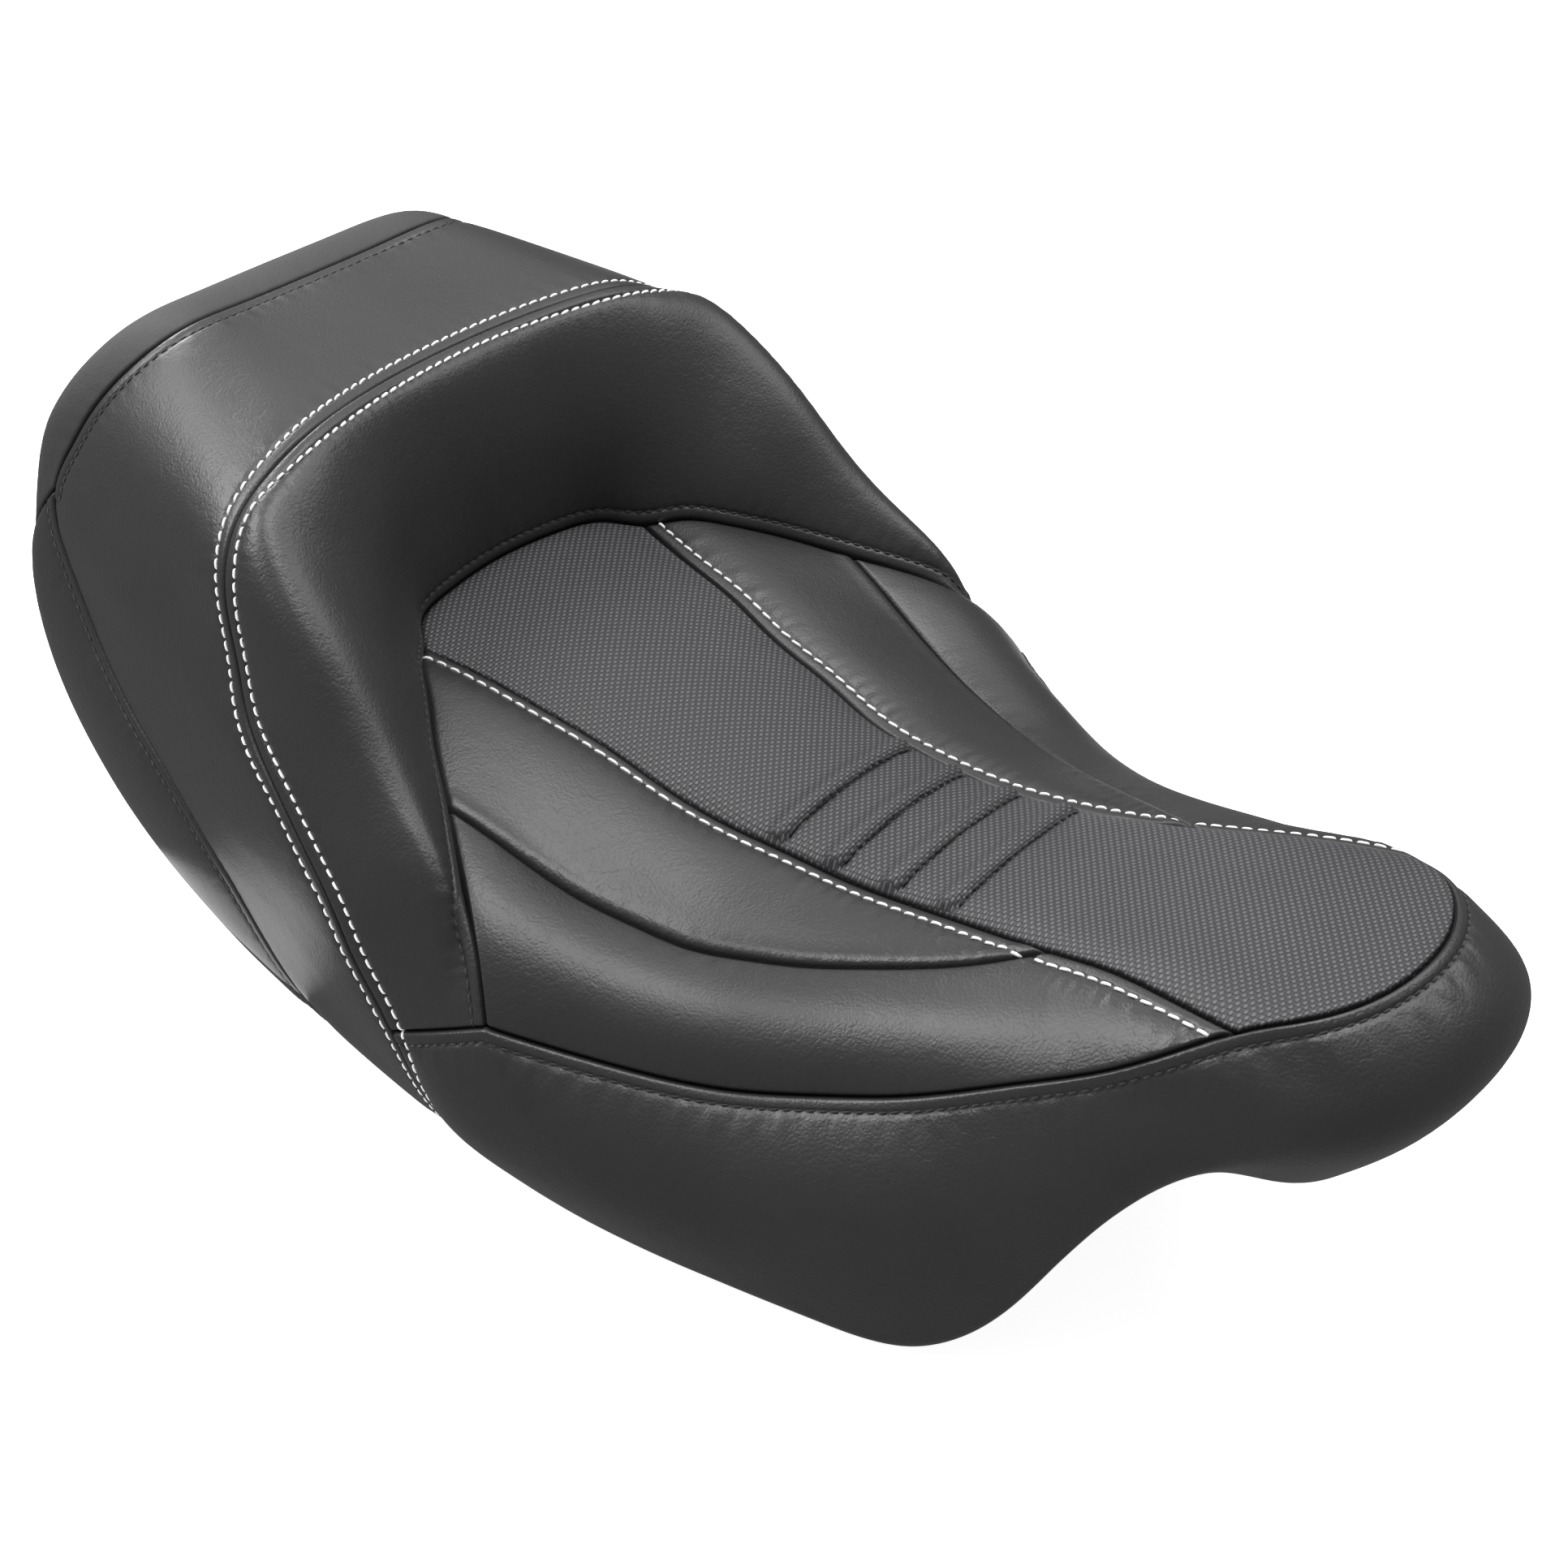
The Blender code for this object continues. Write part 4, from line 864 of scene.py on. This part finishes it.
def make_plastic():
    """Moulded black plastic: a spark-eroded texture, duller and greyer in faint flow marks."""
    finish = Finish("plastic_moulded", Specular_IOR_Level=0.5)
    texture, flow = finish.noise(0.8 * MM, 3, 0.7), finish.noise(35 * MM, 3, 0.55)
    colour = finish.mixed(flow, (0.010, 0.010, 0.011), (0.026, 0.026, 0.027))
    return finish.feed(Base_Color=colour, Roughness=0.42 + 0.18 * flow + 0.06 * texture,
                       Normal=finish.bumped(texture, 0.12 * MM, 0.6))


def make_rubber():
    """Soft black rubber with a dusty bloom."""
    finish = Finish("rubber_black", Specular_IOR_Level=0.35)
    bloom, speck = finish.noise(12 * MM, 4, 0.6), finish.noise(1.0 * MM, 2)
    colour = finish.mixed(bloom, (0.008, 0.008, 0.008), (0.030, 0.030, 0.029))
    return finish.feed(Base_Color=colour, Roughness=0.70 + 0.2 * bloom,
                       Normal=finish.bumped(speck, 0.1 * MM, 0.5))


def make_steel(name, dark, light, metallic, roughness):
    """Plated or painted steel: brushed along the seat, with cloudy plating and small scuffs."""
    finish = Finish(name, Metallic=metallic)
    stretch = finish.node("ShaderNodeMapping", {}, {"Vector": finish.where(), "Scale": (0.08, 1, 1)})
    brushed, cloud = finish.noise(0.7 * MM, 3, 0.6, stretch), finish.noise(9 * MM, 4, 0.6)
    colour = finish.mixed(cloud, dark, light)
    return finish.feed(Base_Color=colour, Roughness=roughness + 0.18 * cloud + 0.12 * brushed,
                       Normal=finish.bumped(brushed, 0.03 * MM, 0.5))


# ---------------- the seat

# Each panel's stops from its first row, last row, first column and last column
CUTS = {
    "insert": "plain plain plain plain",
    "inner": "seam plain plain open",
    "outer": "seam plain plain open",
    "bolster": "seam seam plain plain",
    "skirt": "seam hem seam seam",
    "rear_cap": "seam seam hem hem",
    "gusset": "seam hem plain open",
    "rear": "plain hem plain plain",
}
# Each panel's seams, and how each is sewn on its side. A minus marks the other hand's seam.
SEWING = {
    "insert": "insert plain, front plain, -insert plain, -front plain, foot plain, nose plain",
    "inner": "insert white, inner roll, foot plain",
    "outer": "front white, inner plain, side plain, foot plain",
    "bolster": "foot black, ridge ridge, hip plain, -hip plain",
    "skirt": "skirt gathered, low_ridge ridge, -low_ridge ridge",
    "rear_cap": "whole_ridge ridge, rear black, gusset plain, -gusset plain",
    "gusset": "gusset black, corner plain",
    "rear": "rear plain, corner plain, -corner plain",
}


def seam_plan(seams):
    """For each panel, its seams' lines and how each is sewn."""
    lines = seams | {"-" + name: line * FLIP for name, line in seams.items()}
    pairs = {panel: [pair.split() for pair in text.split(", ")] for panel, text in SEWING.items()}
    return {panel: [(lines[name], kind) for name, kind in rows] for panel, rows in pairs.items()}


# thread row: (panel, seam's place in its plan, side of the grid, thread)
ROWS = {
    "inner": ("inner", 0, "near", WHITE_THREAD),
    "front": ("outer", 0, "near", WHITE_THREAD),
    "ridge_front": ("bolster", 1, "far", RIDGE_THREAD),
    "ridge_back": ("rear_cap", 0, "near", RIDGE_THREAD),
    "hip_left": ("skirt", 1, "first", RIDGE_THREAD),
    "hip_right": ("skirt", 2, "last", RIDGE_THREAD),
    "foot": ("bolster", 0, "near", BLACK_THREAD),
    "skirt_top": ("skirt", 0, "near", BLACK_THREAD),
    "rear": ("rear_cap", 1, "far", BLACK_THREAD),
    "gusset": ("gusset", 0, "near", BLACK_THREAD),
}
HANDED = ("inner", "outer", "gusset")


def sew_cover():
    """Cuts, sews and threads every panel. The insert is pleated before it is sewn."""
    surfaces, seams = plain_surfaces()
    plan = seam_plan(seams)
    grids = {}
    for name, text in CUTS.items():
        near, far, first, last = (np.array(STOPS[kind]) * MM for kind in text.split())
        step = INSERT_STEP if name == "insert" else ALONG_STEP
        across = respaced(surfaces[name], near, far, ACROSS_STEP)
        grids[name] = turned(respaced(turned(across), first, last, step))
    borders = []
    for name, grid in grids.items():
        points, out = border_of(grid, outward(grid))
        borders.append((points, out))
        if name in HANDED:
            borders.append((points * FLIP, out * FLIP))
    vinyl, dull_vinyl = make_vinyl("vinyl_black", 0.0), make_vinyl("vinyl_black_dull", 0.3)
    weave = make_weave()
    white = make_thread("thread_white", (0.72, 0.72, 0.71), (0.95, 0.95, 0.94))
    black = make_thread("thread_black", (0.004, 0.004, 0.004), (0.016, 0.016, 0.018))
    done = {}
    for number, (name, grid) in enumerate(grids.items()):
        if name == "insert":
            sides = [np.concatenate([seams["insert"], seams["front"][1:]]) * hand for hand in (1, FLIP)]
            grid = pleated(grid, sides)
        done[name], nearest = sewn(grid, plan[name], borders, 10 * number)
        finish = {"insert": weave, "rear": dull_vinyl}.get(name, vinyl)
        if name in HANDED:
            cover_panel(name + "_left", done[name], nearest, finish)
            cover_panel(name + "_right", mirrored(done[name]), nearest[:, ::-1], finish)
        else:
            piece = cover_panel(name, done[name], nearest, finish)
        if name == "insert":
            weave_map(piece, done[name])
    for row, (panel, number, side, thread) in ROWS.items():
        line, kind = plan[panel][number]
        gap, place = from_rail(grids[panel], line)
        points, normals = beside_edge(done[panel], gap, place, side, KINDS[kind][0] * MM)
        hands = {"_left": 1, "_right": FLIP} if panel in HANDED else {"": 1}
        for hand, flip in hands.items():
            finish = black if thread is BLACK_THREAD else white
            stitch_row(f"thread_{row}{hand}", points * flip, normals * flip, thread, finish)
    for number, x in enumerate(PLEATS):
        points, normals = across_insert(done["insert"], x)
        stitch_row(f"thread_pleat_{number + 1}", points, normals, PLEAT_THREAD, black)


def across_insert(surface, x):
    """The line straight across the insert at one distance forward, with the surface's normals."""
    out = outward(surface)
    k = np.clip((surface[..., 0] < x).sum(axis=1) - 1, 0, surface.shape[1] - 2)
    rows = np.arange(len(surface))
    t = ((x - surface[rows, k, 0]) / (surface[rows, k + 1, 0] - surface[rows, k, 0] + TINY))[:, None]
    points = surface[rows, k] + t * (surface[rows, k + 1] - surface[rows, k])
    inside = np.abs(points[:, 1]) < np.abs(points[:, 1]).max() - PLEAT_END
    return points[inside], out[rows, k][inside]


FOAM_WELD, FOAM_VOXEL, FOAM_SOFTENING, FOAM_DRAWN_IN = 0.02 * MM, 4 * MM, 4, 6.0 * MM


def fill_with_foam():
    """The foam bun, from its solid: remeshed even, smoothed, and drawn in a little below the cover."""
    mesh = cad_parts["foam_bun"].data.copy()
    mesh.name = "foam_filling"
    mesh.materials.clear()
    mesh.materials.append(make_foam())
    piece = bpy.data.objects.new("foam_filling", mesh)
    bpy.context.scene.collection.objects.link(piece)
    join = piece.modifiers.new("join", "WELD")
    join.merge_threshold = FOAM_WELD
    even = piece.modifiers.new("even", "REMESH")
    even.mode = "VOXEL"
    even.voxel_size = FOAM_VOXEL
    even.use_smooth_shade = True
    soften = piece.modifiers.new("soften", "SMOOTH")
    soften.iterations = FOAM_SOFTENING
    draw_in = piece.modifiers.new("draw_in", "DISPLACE")
    draw_in.strength = -FOAM_DRAWN_IN
    draw_in.mid_level = 0
    graph = bpy.context.evaluated_depsgraph_get()
    final = bpy.data.meshes.new_from_object(piece.evaluated_get(graph))
    piece.modifiers.clear()
    piece.data = final
    final.name = "foam_filling"
    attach(piece, "root")
    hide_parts("foam_bun")


def finish_hard_parts():
    """The hard parts keep their shapes and get finishes."""
    plastic, rubber = make_plastic(), make_rubber()
    zinc = make_steel("zinc_plated", (0.50, 0.50, 0.48), (0.68, 0.68, 0.66), 1.0, 0.28)
    black = make_steel("steel_painted_black", (0.012, 0.012, 0.012), (0.030, 0.030, 0.031), 0.3, 0.34)
    kinds = {"base_pan": plastic, "front_tongue": black, "rear_tab": zinc, "bumper": rubber,
             "front_rivet": zinc, "rear_rivet": zinc, "staple": zinc}
    for name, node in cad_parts.items():
        for start, finish in kinds.items():
            if name.startswith(start):
                node.data.materials.clear()
                node.data.materials.append(finish)


# ---------------- floor, light and camera

FLOOR_HALF, FLOOR_DROP, FLOOR_GLOW = 12.0, 0.2 * MM, 0.9
LENS, SENSOR, NEAREST_SEEN = 59.63, 36.0, 0.01
CAMERA_FROM_DATUM = np.array([0.7274, -0.6998, 0.6021])
CAMERA_TURN, CAMERA_TILT = 39.83, 35.33


def lay_floor():
    """A wide pale floor that glows a little, just under the seat. Shiny finishes don't mirror it."""
    mesh = bpy.data.meshes.new("floor")
    half = FLOOR_HALF
    corners = [(-half, -half, 0), (half, -half, 0), (half, half, 0), (-half, half, 0)]
    mesh.from_pydata(corners, [], [(0, 1, 2, 3)])
    finish = Finish("floor_white", Base_Color=(0.8, 0.8, 0.8, 1), Roughness=0.9, Specular_IOR_Level=0.0,
                    Emission_Color=(1, 1, 1, 1), Emission_Strength=FLOOR_GLOW)
    mesh.materials.append(finish.material)
    floor = bpy.data.objects.new("floor", mesh)
    floor.location.z = -FLOOR_DROP
    floor.visible_glossy = False
    bpy.context.scene.collection.objects.link(floor)


# soft box: (degrees round from straight ahead, degrees up, side in metres, watts)
SOFT_BOXES = {
    "overhead": (0, 88, 1.1, 29),
    "right_rear": (214, 42, 1.0, 28),
    "left_front": (60, 50, 1.1, 14),
    "left_rear": (126, 50, 1.3, 6),
    "rear": (166, 23, 0.5, 12),
}
LIT_POINT, BOX_AWAY = np.array([0, 0, 0.15]), 1.9
WORLD_LIGHT = 0.24
# A card on the floor beyond the left flank, which shines straight up and is turned as the camera is
CARD_PLACE, CARD_WIDE, CARD_LONG, CARD_WATTS = np.array((-0.42, 0.44, 0.02)), 0.5, 1.3, 2.6


def area_light(name, where, toward, width, height, power, roll=0.0):
    """A rectangular light that looks from one point to another, turned by its roll in degrees."""
    light = bpy.data.lights.new(name, "AREA")
    light.shape = "RECTANGLE"
    light.size, light.size_y, light.energy = width, height, power
    lamp = bpy.data.objects.new(name, light)
    lamp.location = where
    direction = toward - where
    pitch = math.atan2(math.hypot(direction[0], direction[1]), -direction[2])
    lamp.rotation_euler = Euler((pitch, 0, math.atan2(-direction[0], direction[1]) + math.radians(roll)))
    lamp.visible_camera = False
    bpy.context.scene.collection.objects.link(lamp)


def light_studio():
    world = bpy.data.worlds.new("studio")
    bpy.context.scene.world = world
    world.use_nodes = True
    back = world.node_tree.nodes["Background"]
    back.inputs["Color"].default_value = (1, 1, 1, 1)
    back.inputs["Strength"].default_value = WORLD_LIGHT
    for name, (turn, lift, side, power) in SOFT_BOXES.items():
        turn, lift = math.radians(turn), math.radians(lift)
        way = np.array([math.cos(turn) * math.cos(lift), math.sin(turn) * math.cos(lift), math.sin(lift)])
        area_light(name, LIT_POINT + BOX_AWAY * way, LIT_POINT, side, side, power)
    above = CARD_PLACE + (0, 0, 1)
    area_light("floor_card", CARD_PLACE, above, CARD_WIDE, CARD_LONG, CARD_WATTS, CAMERA_TURN)


def set_camera():
    lens = bpy.data.cameras.new("camera")
    lens.lens, lens.sensor_width, lens.clip_start = LENS, SENSOR, NEAREST_SEEN
    camera = bpy.data.objects.new("camera", lens)
    camera.location = DATUM + CAMERA_FROM_DATUM
    camera.rotation_euler = Euler((math.radians(90 - CAMERA_TILT), 0, math.radians(CAMERA_TURN)))
    bpy.context.scene.collection.objects.link(camera)
    bpy.context.scene.camera = camera
    bpy.context.scene.view_settings.view_transform = "Standard"


sew_cover()
fill_with_foam()
finish_hard_parts()
lay_floor()
light_studio()
set_camera()
